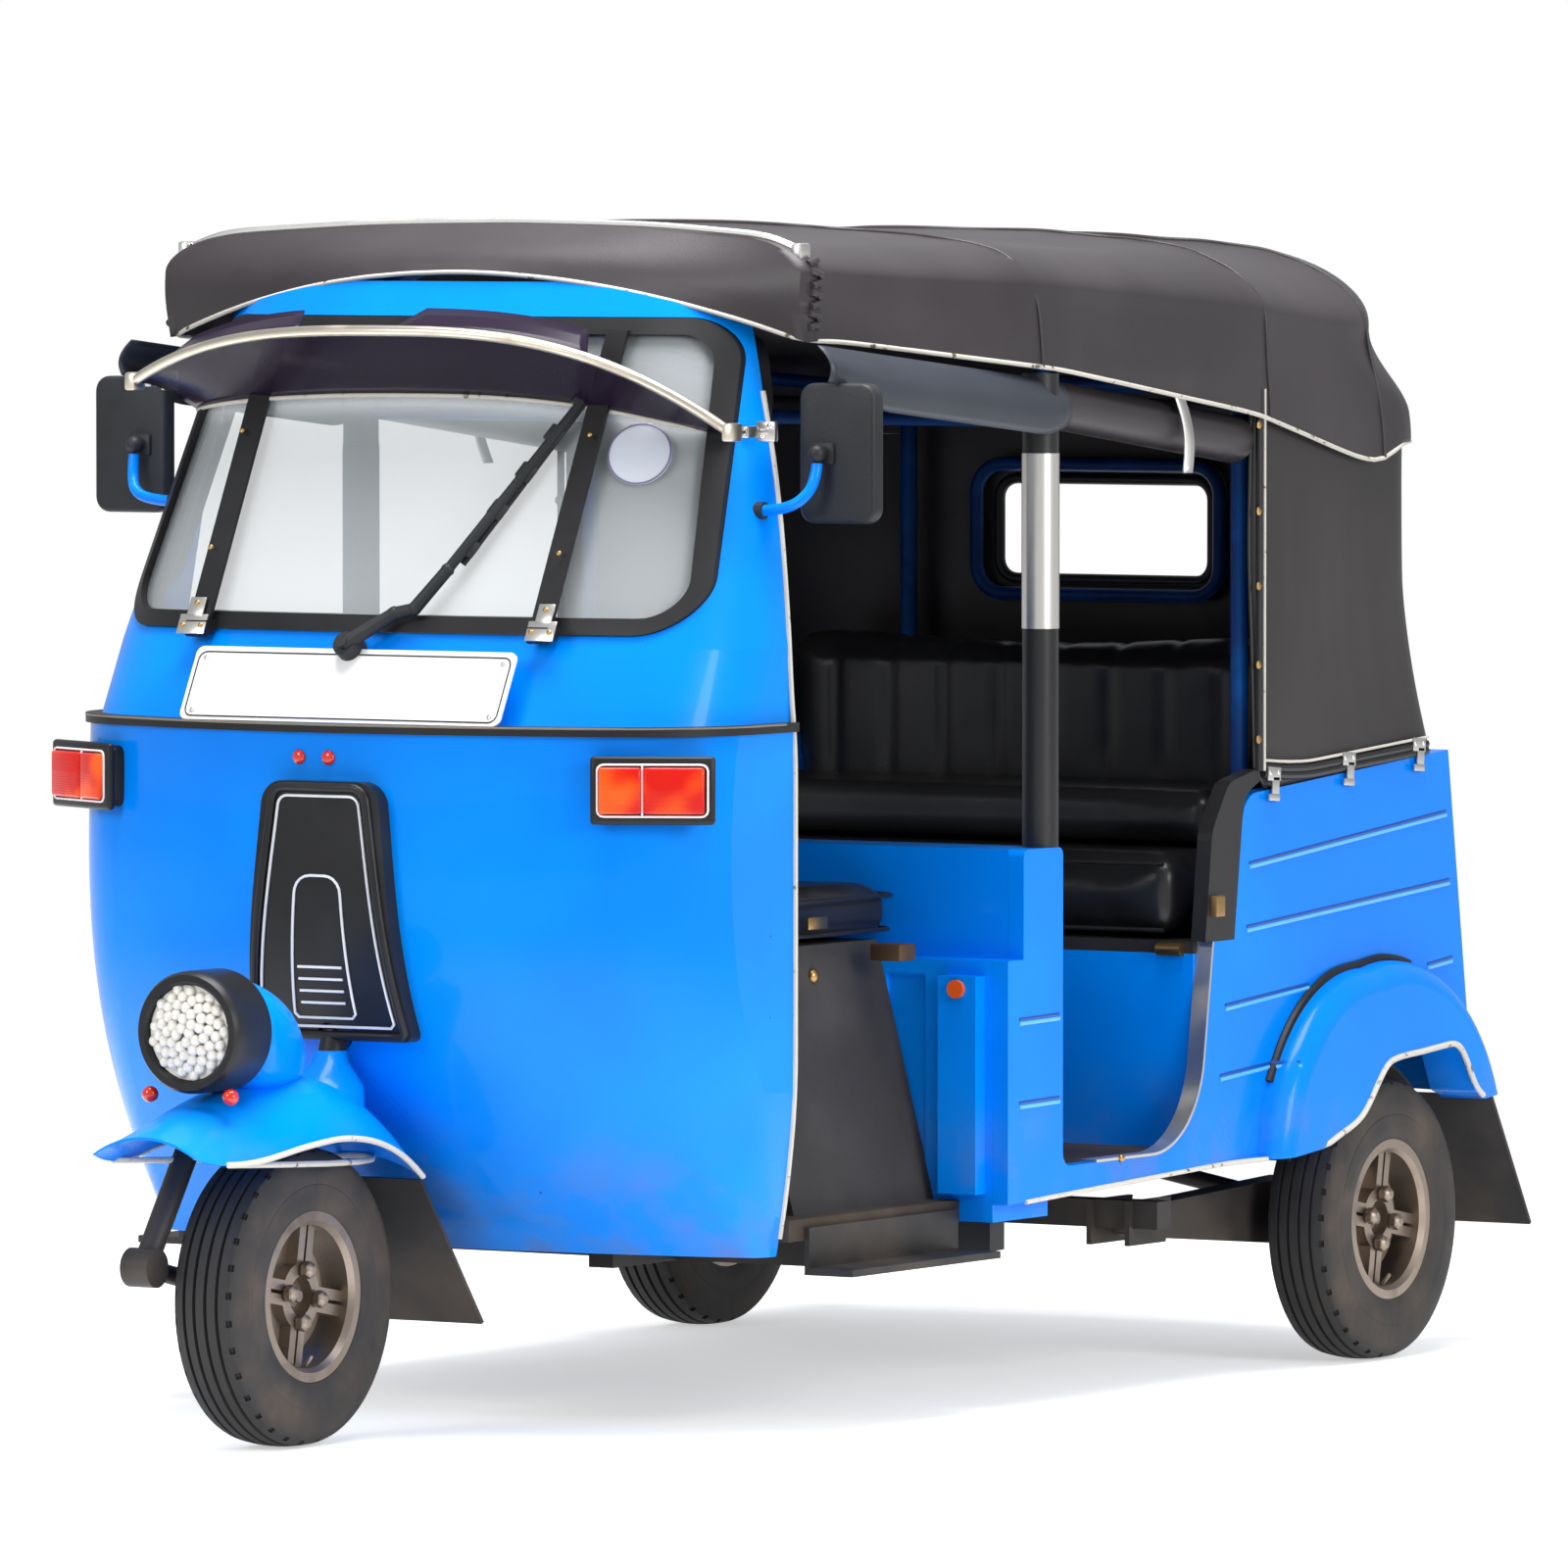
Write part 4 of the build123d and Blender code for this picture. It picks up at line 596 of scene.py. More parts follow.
def hood_slack(station, up):
    """How far the skin sinks between the hoops: most on the shoulders and top, least at the hem."""
    for low, high in zip(HOOD_HOOPS, HOOD_HOOPS[1:]):
        if low < station < high:
            share = (station - low) / (high - low)
            return (4 * share * (1 - share)) ** 0.7 * 0.011 * ease(up, 0.1, 0.6)
    return 0.0


# %% Hood skin
hood = bmesh.new()
bmesh.ops.create_cube(hood, size=1.0)
bmesh.ops.delete(hood, geom=[f for f in hood.faces if f.normal.z < -0.5], context="FACES")
bmesh.ops.subdivide_edges(hood, edges=hood.edges[:], cuts=63, use_grid_fill=True)
for vert in hood.verts:
    vert.co = Vector((vert.co.x * 2 * HOOD_HALF, HOOD_FRONT + (vert.co.y + 0.5) * (HOOD_REAR - HOOD_FRONT),
                      HOOD_BASE + (vert.co.z + 0.5) * (HOOD_TOP - HOOD_BASE)))
shaped = {vert: hood_point(vert.co) for vert in hood.verts}
for vert, (spot, up, share_x) in shaped.items():
    vert.co = Vector((spot.x, aft(spot.y), spot.z))
hood.normal_update()
bmesh.ops.recalc_face_normals(hood, faces=hood.faces)
for vert, (spot, up, share_x) in shaped.items():
    sink = hood_slack(spot.y, up)
    ripple = noise.noise(Vector((spot.x * 5, spot.y * 3.2, spot.z * 9))) * 0.0022 * ease(up, 0.0, 0.25)
    hem_pull = noise.noise(Vector((spot.y * 14, spot.x * 14, 3.0))) * 0.003 * (1 - ease(up, 0.0, 0.45))
    vert.co -= vert.normal * (sink + ripple + abs(hem_pull))
print("hood skin has", len(hood.faces), "faces")

# %% [markdown]
# Where the skin crosses a hoop it is sewn, and the seam stands a little proud. Each seam follows the
# grid's own points nearest its station, from hem to hem.

# %% Hood seams
seams = bmesh.new()
for hoop in HOOD_HOOPS[1:]:
    for side in (LEFT, RIGHT):
        route = {}
        for vert, (spot, up, share_x) in shaped.items():
            place = round(math.atan2(spot.z - 1.25, abs(spot.x)) * 40)
            gap = abs(spot.y - hoop - 0.030 * (1 - up))
            if spot.x * side > -0.01 and spot.y < HOOD_REAR - 0.02 and gap < route.get(place, (0.03,))[0]:
                route[place] = (gap, vert.co + vert.normal * 0.0010)
        line = [route[place][1] for place in sorted(route)]
        for _ in range(3):
            line = [line[0]] + [(a + b * 2 + c) / 4 for a, b, c in zip(line, line[1:], line[2:])] + [line[-1]]
        add_wire(seams, line, 0.0030, resolution=2, sides=2)
hood_seams = piece("hood_seams", seams, hood_vinyl, slot="vinyl", sharp=80)

# %% [markdown]
# The hem is bound with a pale piping cord, front and sides. The skin's own open edge is its route,
# so the piping can't drift off the vinyl: the edge's points are walked in order and given to a wire.

# %% Hem piping
def open_edge(shape):
    """The points of a sheet's one open edge, in order."""
    rim = [edge for edge in shape.edges if edge.is_boundary]
    step = {}
    for edge in rim:
        for vert in edge.verts:
            step.setdefault(vert, []).append(edge.other_vert(vert))
    start = rim[0].verts[0]
    path, before = [start], None
    while True:
        following = [v for v in step[path[-1]] if v is not before]
        before = path[-1]
        if following[0] is start:
            return [vert.co.copy() for vert in path]
        path.append(following[0])


hem = open_edge(hood)
piping = bmesh.new()
add_wire(piping, hem[::2], 0.0034, closed=True, resolution=2, sides=2)
hem_piping = piece("hood_piping", piping, cream_bead, slot="metal_trim", sharp=60)

hood_skin = piece("hood_skin", hood, hood_vinyl, replaces=("canopy_top",), slot="vinyl", sharp=75)
modifier(hood_skin, "SOLIDIFY", thickness=0.004, offset=-1)
print("hem piping follows", len(hem), "points")

# %% [markdown]
# ## Side and rear curtains
# Below the hood one vinyl sheet runs from the back of one doorway round the rear corners to the
# other. Its foot flares out over the tub's top edge, and its waist is pulled in by the hoops. It
# starts as a flat grid whose length is bent round the corners; a short average along the length
# rounds them. The rear window is cut by planes before the bending, while the sheet is still flat.

# %% Curtain sheet
CURTAIN_FRONT, CURTAIN_HALF = 1.640, 0.5965
WINDOW_HALF, WINDOW_LOW, WINDOW_HIGH = 0.182, 1.138, 1.282


def belt(station):
    """Height of the tub's top edge."""
    return 0.8485 + (min(station, 2.212) - 1.604) * 0.0724


def curtain_plan(share, z):
    """A point of the curtain's plan outline; share runs from -1 at the right front to 1 at the left."""
    flare = max(0.0, (1.150 - z) / 0.300) ** 1.6
    corner, centre = 2.120 + 0.098 * flare, 2.246 + 0.042 * flare
    half = CURTAIN_HALF - 0.006 * (1 - flare) * ease(z, 1.0, 1.4)
    reach = abs(share)
    if reach < 0.5:
        x = half * reach / 0.5
        station = centre - (centre - corner) * (reach / 0.5) ** 2
    else:
        x = half
        station = corner - (corner - CURTAIN_FRONT) * (reach - 0.5) / 0.5
    return Vector((math.copysign(x, share), station, z))


def curtain_point(share, up):
    """A point of the sheet with its corners rounded; up runs from 0 at the tub to 1 under the hood."""
    samples = [-0.045, -0.03, -0.015, 0, 0.015, 0.03, 0.045]
    middle = curtain_plan(share, 1.1)
    foot = belt(middle.y) + 0.0006 + 0.030 * (1 - ease(middle.y, 1.640, 1.668)) * ease(abs(share), 0.5, 0.6)
    head = between(HOOD_EDGE, middle.y, 1) + 0.055
    z = foot + (head - foot) * up
    if abs(share) > 0.94:
        return curtain_plan(share, z)
    total = sum((curtain_plan(share + s, z) for s in samples), Vector())
    return total / len(samples)


def curtain_wave(share, up):
    """Slack in the vinyl: long soft folds that die out at the hems."""
    fold = noise.noise(Vector((share * 9, up * 1.6, 0.4))) * 0.006
    fold += noise.noise(Vector((share * 26, up * 3, 5))) * 0.0015
    return fold * math.sin(math.pi * min(1.0, up * 1.15)) + 0.004 * math.sin(math.pi * up)


curtain = bmesh.new()
bmesh.ops.create_grid(curtain, x_segments=150, y_segments=44, size=1.0)
window_share = 0.5 * WINDOW_HALF / CURTAIN_HALF
head_rear, foot_rear = between(HOOD_EDGE, 2.24, 1) + 0.055, belt(2.24)
window_low = (WINDOW_LOW - foot_rear) / (head_rear - foot_rear) * 2 - 1
window_high = (WINDOW_HIGH - foot_rear) / (head_rear - foot_rear) * 2 - 1
for spot, normal in (((window_share, 0, 0), (1, 0, 0)), ((-window_share, 0, 0), (1, 0, 0)),
                     ((0, window_low, 0), (0, 1, 0)), ((0, window_high, 0), (0, 1, 0))):
    bmesh.ops.bisect_plane(curtain, geom=curtain.verts[:] + curtain.edges[:] + curtain.faces[:],
                           plane_co=spot, plane_no=normal)
hole = [f for f in curtain.faces if abs(f.calc_center_median().x) < window_share
        and window_low < f.calc_center_median().y < window_high]
bmesh.ops.delete(curtain, geom=hole, context="FACES")
flat_places = {vert: (vert.co.x, (vert.co.y + 1) / 2) for vert in curtain.verts}
for vert, (share, up) in flat_places.items():
    spot = curtain_point(share, up)
    vert.co = Vector((spot.x, aft(spot.y), spot.z))
for vert, (share, up) in flat_places.items():
    middle = Vector((0, aft(1.6), vert.co.z))
    towards = (middle - vert.co).normalized()
    vert.co += towards * max(0.0, curtain_wave(share, up) + 0.001)
curtain_sheet = piece("curtain_sheet", curtain, curtain_vinyl, slot="vinyl", sharp=70,
                      replaces=("quarter_curtain_left", "quarter_curtain_right", "rear_curtain"))
modifier(curtain_sheet, "SOLIDIFY", thickness=0.003, offset=0)

# %% [markdown]
# The curtain's front edges are bound and riveted to the post, its foot is held by a black strip
# with pale piping, and three bright clips a side hook it to the tub. The rear window is framed on
# the inside by a bent blue tube and a black rubber lip.

# %% Curtain edges, strip and clips
binding = bmesh.new()
binding_pale = bmesh.new()
rivets = bmesh.new()
foot_strip = bmesh.new()
clips = bmesh.new()
for side in (LEFT, RIGHT):
    edge = [curtain_point(side * 0.999, up) for up in (0.0, 0.2, 0.4, 0.6, 0.8, 0.97)]
    lean = [Vector((side * (CURTAIN_HALF + 0.0045), aft(p.y) + 0.004, p.z)) for p in edge]
    add_wire(binding, lean, 0.0055, resolution=4)
    pale_line = [p + Vector((side * 0.0035, 0.010, 0)) for p in lean]
    add_wire(binding_pale, pale_line, 0.0022, resolution=4, sides=2)
    for up in (0.08, 0.27, 0.47, 0.66, 0.88):
        p = curtain_point(side * 0.999, up)
        add_dome(rivets, (side * (CURTAIN_HALF + 0.007), aft(p.y) - 0.001, p.z), 0.0065, 0.5, (side, 0, 0))
    line = [curtain_point(side * share, 0.0) for share in (0.985, 0.9, 0.8, 0.7, 0.62, 0.55)]
    for rise in (0.010, 0.020):
        route = [Vector((p.x + side * 0.0035, aft(p.y), p.z + rise)) for p in line]
        add_wire(foot_strip, route, 0.0062, resolution=4, sides=2)
    pale_line = [Vector((p.x + side * 0.006, aft(p.y), p.z + 0.030)) for p in line]
    add_wire(binding_pale, pale_line, 0.0022, resolution=4, sides=2)
    for share in (0.965, 0.77, 0.58):
        p = curtain_point(side * share, 0.0)
        x, y, z = side * (CURTAIN_HALF + 0.010), aft(p.y), p.z
        tilt = Matrix.Rotation(math.radians(-4), 4, "X")
        add_box(clips, (x, y, z + 0.022), (0.003, 0.036, 0.020), 0.0012, tilt)
        add_box(clips, (x, y + 0.004, z + 0.003), (0.003, 0.020, 0.030), 0.0012, tilt)
        add_box(clips, (x + side * 0.002, y - 0.004, z - 0.012), (0.004, 0.030, 0.010), 0.0014, tilt)
        for step in (-0.012, 0.012):
            add_dome(clips, (x + side * 0.001, y + step, z + 0.024), 0.0045, 0.5, (side, 0, 0))
piece("curtain_binding", binding, trim_vinyl, slot="vinyl")
piece("curtain_piping", binding_pale, cream_bead, slot="metal_trim")
piece("curtain_rivets", rivets, brass, slot="metal_trim")
piece("curtain_foot_strip", foot_strip, trim_vinyl, slot="vinyl")
piece("curtain_clips", clips, aluminium, slot="metal_trim")
print("curtains hung")

# %% Rear window frame
def rounded_ring(half_x, low, high, radius, y, steps=6):
    """Points round an upright rectangle with round corners."""
    ring = []
    for cx, cz, start in ((half_x - radius, high - radius, 0), (radius - half_x, high - radius, 90),
                          (radius - half_x, low + radius, 180), (half_x - radius, low + radius, 270)):
        for step in range(steps + 1):
            angle = math.radians(start + 90 * step / steps)
            ring.append(Vector((cx + radius * math.cos(angle), y, cz + radius * math.sin(angle))))
    return ring


window_frame = bmesh.new()
frame_ring = rounded_ring(0.212, 1.112, 1.308, 0.045, aft(2.205))
add_wire(window_frame, frame_ring, 0.0105, closed=True, smooth=False)
# The frame wears the dark hoop blue, which is painted shade.
piece("window_frame", window_frame, shaded_hoop_blue, slot="body_paint")
window_lip = bmesh.new()
for ring in (rounded_ring(WINDOW_HALF + 0.004, WINDOW_LOW - 0.004, WINDOW_HIGH + 0.004, 0.030, 0.0),):
    bent = [Vector((p.x, aft(2.2425 - 0.134 * (p.x / 0.5965) ** 2), p.z)) for p in ring]
    add_wire(window_lip, bent, 0.0085, closed=True, smooth=False)
piece("window_lip", window_lip, seal_rubber, slot="rubber")
print("rear window framed")

# %% [markdown]
# ## Finding the surface
# Trim has to sit on the panel that carries it. `touch` sends a ray at a construction node and
# gives the place it meets, so that lamps, beads and screws rest on the real surface.

# %% Surface finder

trees = {}


def ray_tree(mesh):
    """A mesh made ready for rays."""
    return BVHTree.FromPolygons([v.co for v in mesh.vertices], [list(p.vertices) for p in mesh.polygons])


def touch(node, start, aim):
    """Where a ray from start along aim first meets a node, and the surface's normal there."""
    if node not in trees:
        mesh = nodes[node].data
        trees[node] = ray_tree(mesh)
    spot, normal, _, _ = trees[node].ray_cast(Vector(start), Vector(aim).normalized())
    if spot is not None and normal.dot(Vector(aim)) > 0:
        normal = -normal
    return spot, normal


def on_front(node, x, z, lift=0.0):
    """The point of a node seen from straight ahead, raised by lift along its normal."""
    spot, normal = touch(node, (x, aft(-1.2), z), (0, 1, 0))
    return spot + normal * lift if spot is not None else None


def on_side(node, side, station, z, lift=0.0):
    """The point of a node seen from straight beside it."""
    spot, normal = touch(node, (side * 1.2, aft(station), z), (-side, 0, 0))
    return spot + normal * lift if spot is not None else None


def lowest(node, side, station, low, high):
    """The lowest point of a node seen from beside it at a station, looked for between two heights."""
    for step in range(161):
        spot, _ = touch(node, (side * 1.2, aft(station), low + (high - low) * step / 160), (-side, 0, 0))
        if spot is not None and spot.x * side > 0.01:
            return spot
    return None


def rearmost(node, side, z, front, rear):
    """The rearmost point of a node seen from beside it at a height."""
    for step in range(161):
        spot, _ = touch(node, (side * 1.2, aft(rear + (front - rear) * step / 160), z), (-side, 0, 0))
        if spot is not None:
            return spot
    return None


def evened(points, rounds=2):
    """A line with its gaps closed up and its small steps averaged out."""
    points = [p for p in points if p is not None]
    for turn in range(rounds):
        middle = [(a + b * 2 + c) / 4 for a, b, c in zip(points, points[1:], points[2:])]
        points = [points[0]] + middle + [points[-1]]
    return points


print("cab meets x = 0.3 at", on_front("cab_shell", 0.3, 0.9))

# %% [markdown]
# ## Nose cover
# The black cover over the nose has a raised rolled rim, a fine bright line inside it, and a small
# arched outline with four bars below, painted in white. The painted lines are thin wires half sunk
# into the panel. The places of the badge and the sticker stay bare.

# %% Cover outlines
def cover_outline(points, lift, closed=True):
    """Points laid on the nose cover."""
    closer = []
    for (x, z), (next_x, next_z) in zip(points, points[1:] + points[:1]):
        count = max(1, round(math.hypot(next_x - x, next_z - z) / 0.02))
        closer += [(x + (next_x - x) * step / count, z + (next_z - z) * step / count)
                   for step in range(count)]
    laid = [on_front("nose_cover", x, z, lift) for x, z in (closer if closed else points)]
    return [p for p in laid if p is not None]


def arched(half_low, half_high, low, high, radius, steps=5):
    """An upright outline that narrows upwards, with round top corners and small round feet."""
    points = [(-half_low + 0.006, low), (half_low - 0.006, low), (half_low, low + 0.006)]
    for step in range(steps + 1):
        angle = math.radians(90 * step / steps)
        points.append((half_high - radius + radius * math.cos(angle),
                       high - radius + radius * math.sin(angle)))
    for step in range(steps + 1):
        angle = math.radians(90 + 90 * step / steps)
        points.append((radius - half_high + radius * math.cos(angle),
                       high - radius + radius * math.sin(angle)))
    points.append((-half_low, low + 0.006))
    return points


cover_low, cover_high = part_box("nose_cover")
base_z, top_z = cover_low.z + 0.008, cover_high.z - 0.008
foot_half, head_half = cover_high.x - 0.008, 0.078
rim = bmesh.new()
rim_line = cover_outline(arched(foot_half, head_half, base_z, top_z, 0.022), 0.001)
add_wire(rim, rim_line, 0.0065, closed=True, smooth=False)
piece("cover_rim", rim, black_panel, slot="black_panel")
bright = bmesh.new()
outer_arch = arched(foot_half - 0.014, head_half - 0.011, base_z + 0.012, top_z - 0.012, 0.016)
add_wire(bright, cover_outline(outer_arch, 0.0016), 0.0021, closed=True, smooth=False, sides=2)
inner_arch = arched(0.050, 0.038, 0.585, 0.782, 0.026)
add_wire(bright, cover_outline(inner_arch, 0.0014), 0.0020, closed=True, smooth=False, sides=2)
for step in range(4):
    z = 0.606 + step * 0.0165
    add_wire(bright, cover_outline([(-0.036, z), (0, z), (0.036, z)], 0.0014, False), 0.0020, sides=2)
cover_line = Finish("cover_line", (0.75, 0.76, 0.78), 0.3, metallic=0.2)
piece("cover_lines", bright, cover_line, slot="black_panel")
print("nose cover lined")

# %% [markdown]
# ## Number plate, reflectors and waist
# The blank plate has a dark pressed border and four screws. Two red button reflectors sit under it,
# and a fine dull highlight runs along the black waist trim.

# %% Plate border and screws
tilt = math.radians(27.0)
plate_x, plate_z = Vector((1, 0, 0)), Vector((0, math.sin(tilt), math.cos(tilt)))
plate_out = Vector((0, -math.cos(tilt), math.sin(tilt)))
plate_middle = on_front("number_plate", 0.0, 1.040)


def plate_point(across_x, up, lift):
    return plate_middle + plate_x * across_x + plate_z * up + plate_out * lift


border = bmesh.new()
half_w, half_h, corner = 0.258, 0.049, 0.012
ring = []
for cx, cz, start in ((half_w - corner, half_h - corner, 0), (corner - half_w, half_h - corner, 90),
                      (corner - half_w, corner - half_h, 180), (half_w - corner, corner - half_h, 270)):
    for step in range(5):
        angle = math.radians(start + 90 * step / 4)
        ring.append(plate_point(cx + corner * math.cos(angle), cz + corner * math.sin(angle), 0.0002))
add_wire(border, ring, 0.0011, closed=True, smooth=False, sides=2)
piece("plate_border", border, black_panel, slot="plate_white")
screws = bmesh.new()
for x in (-0.246, 0.246):
    for up in (-0.040, 0.040):
        add_dome(screws, plate_point(x, up, 0.0), 0.0045, 0.45, plate_out)
piece("plate_screws", screws, aluminium, slot="metal_trim")

# %% Reflectors and waist highlight
reflectors = bmesh.new()
for x in (-0.046, 0.003):
    spot, normal = touch("cab_shell", (x, aft(-1.2), 0.944), (0, 1, 0))
    add_dome(reflectors, spot + normal * 0.001, 0.0105, 0.6, normal, 3)
piece("nose_reflectors", reflectors, lens_red, slot="lamp_red")

waist = bmesh.new()
path = []
for step in range(-24, 25):
    angle = math.radians(step * 3.9)
    aim = Vector((-math.sin(angle), math.cos(angle), 0))
    spot, normal = touch("waist_trim", Vector((0, aft(0.50), 0.9895)) - aim * 1.5, aim)
    if spot is not None:
        path.append(spot + normal * 0.0003)
add_wire(waist, path, 0.0016, resolution=3, sides=2)
piece("waist_highlight", waist, Finish("waist_highlight", (0.16, 0.14, 0.10), 0.4), slot="metal_trim")
print("plate and waist done")

# %% [markdown]
# ## Front indicators
# Each indicator is a black moulded box with a rolled lip, and a lens in two parts: a deep red end
# and an orange end, parted by a pale line, inside a fine white outline. The lens is a bevelled box
# whose ribs come from the material.

# %% Indicator lens
indicator_glow = Finish("indicator_lens", (0.75, 0.04, 0.004), 0.14, Coat_Weight=0.3, Specular_IOR_Level=0.2)
bright_spots = indicator_glow.noise(14.0, 1.0).ramp(0.42, 0.72)
lens_shade = indicator_glow.mix((0.55, 0.006, 0.001), (0.95, 0.10, 0.005), bright_spots)
indicator_glow.set("Base Color", lens_shade)
indicator_glow.set("Emission Color", lens_shade)
indicator_glow.set("Emission Strength", 0.22)
ribs = indicator_glow.node("ShaderNodeTexWave", {"wave_type": "BANDS", "bands_direction": "Z"},
                           {"Vector": indicator_glow.place(), "Scale": 95.0})
indicator_glow.bump(ribs, 0.22, 0.001)


def indicator(side):
    """The lamp's own axes, then its four pieces."""
    name = "left" if side == LEFT else "right"
    turn = math.radians(28 * side)
    along = Vector((math.cos(turn), math.sin(turn), 0))
    out = Vector((math.sin(turn), -math.cos(turn), 0))
    low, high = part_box("front_indicators")
    middle = Vector((side * 0.462, aft(0.222), 0.906)) + out * 0.014
    axes = Matrix((along, Vector((0, 0, 1)), out)).transposed().to_4x4()

    def spot(a, up, forward):
        return middle + along * a + Vector((0, 0, up)) + out * forward

    housing = bmesh.new()
    add_box(housing, spot(0, 0, -0.016), (0.164, 0.086, 0.050), 0.012, axes, 4)
    add_box(housing, spot(0, 0, 0.008), (0.172, 0.094, 0.012), 0.0055, axes, 3)
    piece(name + "_indicator_housing", housing, lamp_black, slot="lamp_black",
          replaces=("front_indicators",) if side == LEFT else ())
    for part, centre, width in (("inner", -0.0445 * side, 0.058), ("outer", 0.0295 * side, 0.084)):
        lens = bmesh.new()
        add_box(lens, spot(centre, 0, 0.016), (width, 0.064, 0.014), 0.004, axes, 3)
        piece(f"{name}_indicator_{part}_lens", lens, indicator_glow, slot="lamp_red")
    outline = bmesh.new()
    ring = []
    for ca, cu, start in ((0.067, 0.0275, 0), (-0.067, 0.0275, 90),
                          (-0.067, -0.0275, 180), (0.067, -0.0275, 270)):
        for step in range(4):
            angle = math.radians(start + 30 * step)
            ring.append(spot(ca + 0.009 * math.cos(angle), cu + 0.008 * math.sin(angle), 0.0155))
    add_wire(outline, ring, 0.0016, closed=True, smooth=False, sides=2)
    divider = [spot(-0.014 * side, rise, 0.018) for rise in (-0.034, 0.034)]
    add_wire(outline, divider, 0.0016, sides=2)
    piece(name + "_indicator_outline", outline, plate_white, slot="plate_white")


indicator(LEFT)
indicator(RIGHT)
print("indicators done")

# %% [markdown]
# ## Headlamp
# The lamp is a deep black bezel on a blue nacelle that runs back over the fender. Its lens is
# packed with pale globules of pressed glass: a spiral of small domes that covers a disc evenly.

# %% Headlamp
lamp_low, lamp_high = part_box("headlamp")
lamp_radius = (lamp_high.x - lamp_low.x) / 2
lamp_face = lamp_low.y
lamp_centre = Vector((0, lamp_face, lamp_high.z - lamp_radius))
bezel = bmesh.new()
bezel_profile = ((0.0, 0.066), (-0.004, 0.070), (-0.004, 0.079), (0.002, lamp_radius - 0.001),
                 (0.010, lamp_radius), (0.080, lamp_radius), (0.086, lamp_radius - 0.004),
                 (0.086, 0.060), (0.012, 0.060), (0.012, 0.066))
ring = [bezel.verts.new(lamp_centre + Vector((0, y + 0.004, r))) for y, r in bezel_profile]
edges = [bezel.edges.new((a, b)) for a, b in zip(ring, ring[1:] + ring[:1])]
bmesh.ops.spin(bezel, geom=ring + edges, cent=lamp_centre, axis=(0, 1, 0), dvec=(0, 0, 0), angle=2 * math.pi,
               steps=72, space=Matrix.Identity(4), use_merge=True, use_duplicate=False)
piece("headlamp_bezel", bezel, lamp_black, "steering", ("headlamp",), "lamp_black", sharp=40)

globules = Finish("lamp_globules", (0.80, 0.77, 0.70), 0.16, Coat_Weight=0.6)
lens = bmesh.new()
golden = math.pi * (3 - math.sqrt(5))
for step in range(62):
    reach = 0.061 * math.sqrt((step + 0.5) / 62)
    angle = golden * step
    depth = 0.008 - 0.010 * (reach / 0.062) ** 2
    add_dome(lens, lamp_centre + Vector((reach * math.cos(angle), 0.008 - depth, reach * math.sin(angle))),
             0.0082, 0.9, (0, -1, 0), 3)
add_rod(lens, lamp_centre + Vector((0, 0.010, 0)), lamp_centre + Vector((0, 0.018, 0)), 0.065, sides=48)
piece("headlamp_lens", lens, globules, "steering", slot="glass", sharp=60)

bulbs = bmesh.new()
for side in (LEFT, RIGHT):
    stalk = lamp_centre + Vector((side * 0.060, 0.010, -0.078))
    add_dome(bulbs, stalk + Vector((side * 0.006, 0, -0.008)), 0.0115, 1.0, (side, 0, -1), 3)
piece("marker_bulbs", bulbs, lens_red, "steering", slot="lamp_red")
print("headlamp built, bezel radius", round(lamp_radius, 4))

# %% Nacelle
nacelle = bmesh.new()
back_y = lamp_centre.y + 0.078
rings = []
for station_y, half, low, high in ((back_y, 0.074, -0.078, 0.074), (back_y + 0.045, 0.074, -0.090, 0.070),
                                   (back_y + 0.100, 0.064, -0.096, 0.052),
                                   (back_y + 0.150, 0.042, -0.092, 0.022),
                                   (back_y + 0.190, 0.018, -0.082, -0.020)):
    made = bmesh.ops.create_circle(nacelle, segments=36, radius=1.0, cap_ends=False)
    for vert in made["verts"]:
        x, up = vert.co.x, vert.co.y
        height = (low + high) / 2 + up * (high - low) / 2
        vert.co = Vector((x * half * (1.0 + 0.25 * max(0.0, -up) ** 2), station_y, lamp_centre.z + height))
    rings.append(list({edge for vert in made["verts"] for edge in vert.link_edges}))
for near, far in zip(rings, rings[1:]):
    bmesh.ops.bridge_loops(nacelle, edges=near + far)
for end in (rings[0], rings[-1]):
    bmesh.ops.contextual_create(nacelle, geom=end)
nacelle_piece = piece("headlamp_nacelle", nacelle, blue_paint, "steering", slot="body_paint", sharp=50)
modifier(nacelle_piece, "SUBSURF", levels=2, render_levels=2)
shroud = bmesh.new()
rings = []
for step in range(7):
    z = 0.440 + step * 0.0165
    axis_y = aft(0.0) + (z - 0.208) * math.tan(math.radians(20.0))
    nose, _ = touch("cab_shell", (0, aft(-1.2), z), (0, 1, 0))
    free = 0.060 if nose is None else nose.y - axis_y - 0.012
    made = bmesh.ops.create_circle(shroud, segments=36, radius=max(0.021, min(0.066 - step * 0.004, free)),
                                   cap_ends=False)
    bmesh.ops.translate(shroud, verts=made["verts"], vec=(0, axis_y, z))
    rings.append(list({edge for vert in made["verts"] for edge in vert.link_edges}))
for near, far in zip(rings, rings[1:]):
    bmesh.ops.bridge_loops(shroud, edges=near + far)
for end in (rings[0], rings[-1]):
    bmesh.ops.contextual_create(shroud, geom=end)
piece("column_shroud", shroud, blue_paint, "steering", slot="body_paint", sharp=50)
print("nacelle joined to the fender")

# %% [markdown]
# ## Sun visor
# A tinted sheet springs out over the windscreen. A fat rolled bar stiffens its front edge: it lies
# nearly flat across the middle and drops at the ends, where steel brackets hold it to the pillars.
# The sheet runs from the bar down and back to the glass, and two tinted flaps rise behind the bar.

# %% Visor lines
VISOR_HALF = 0.497


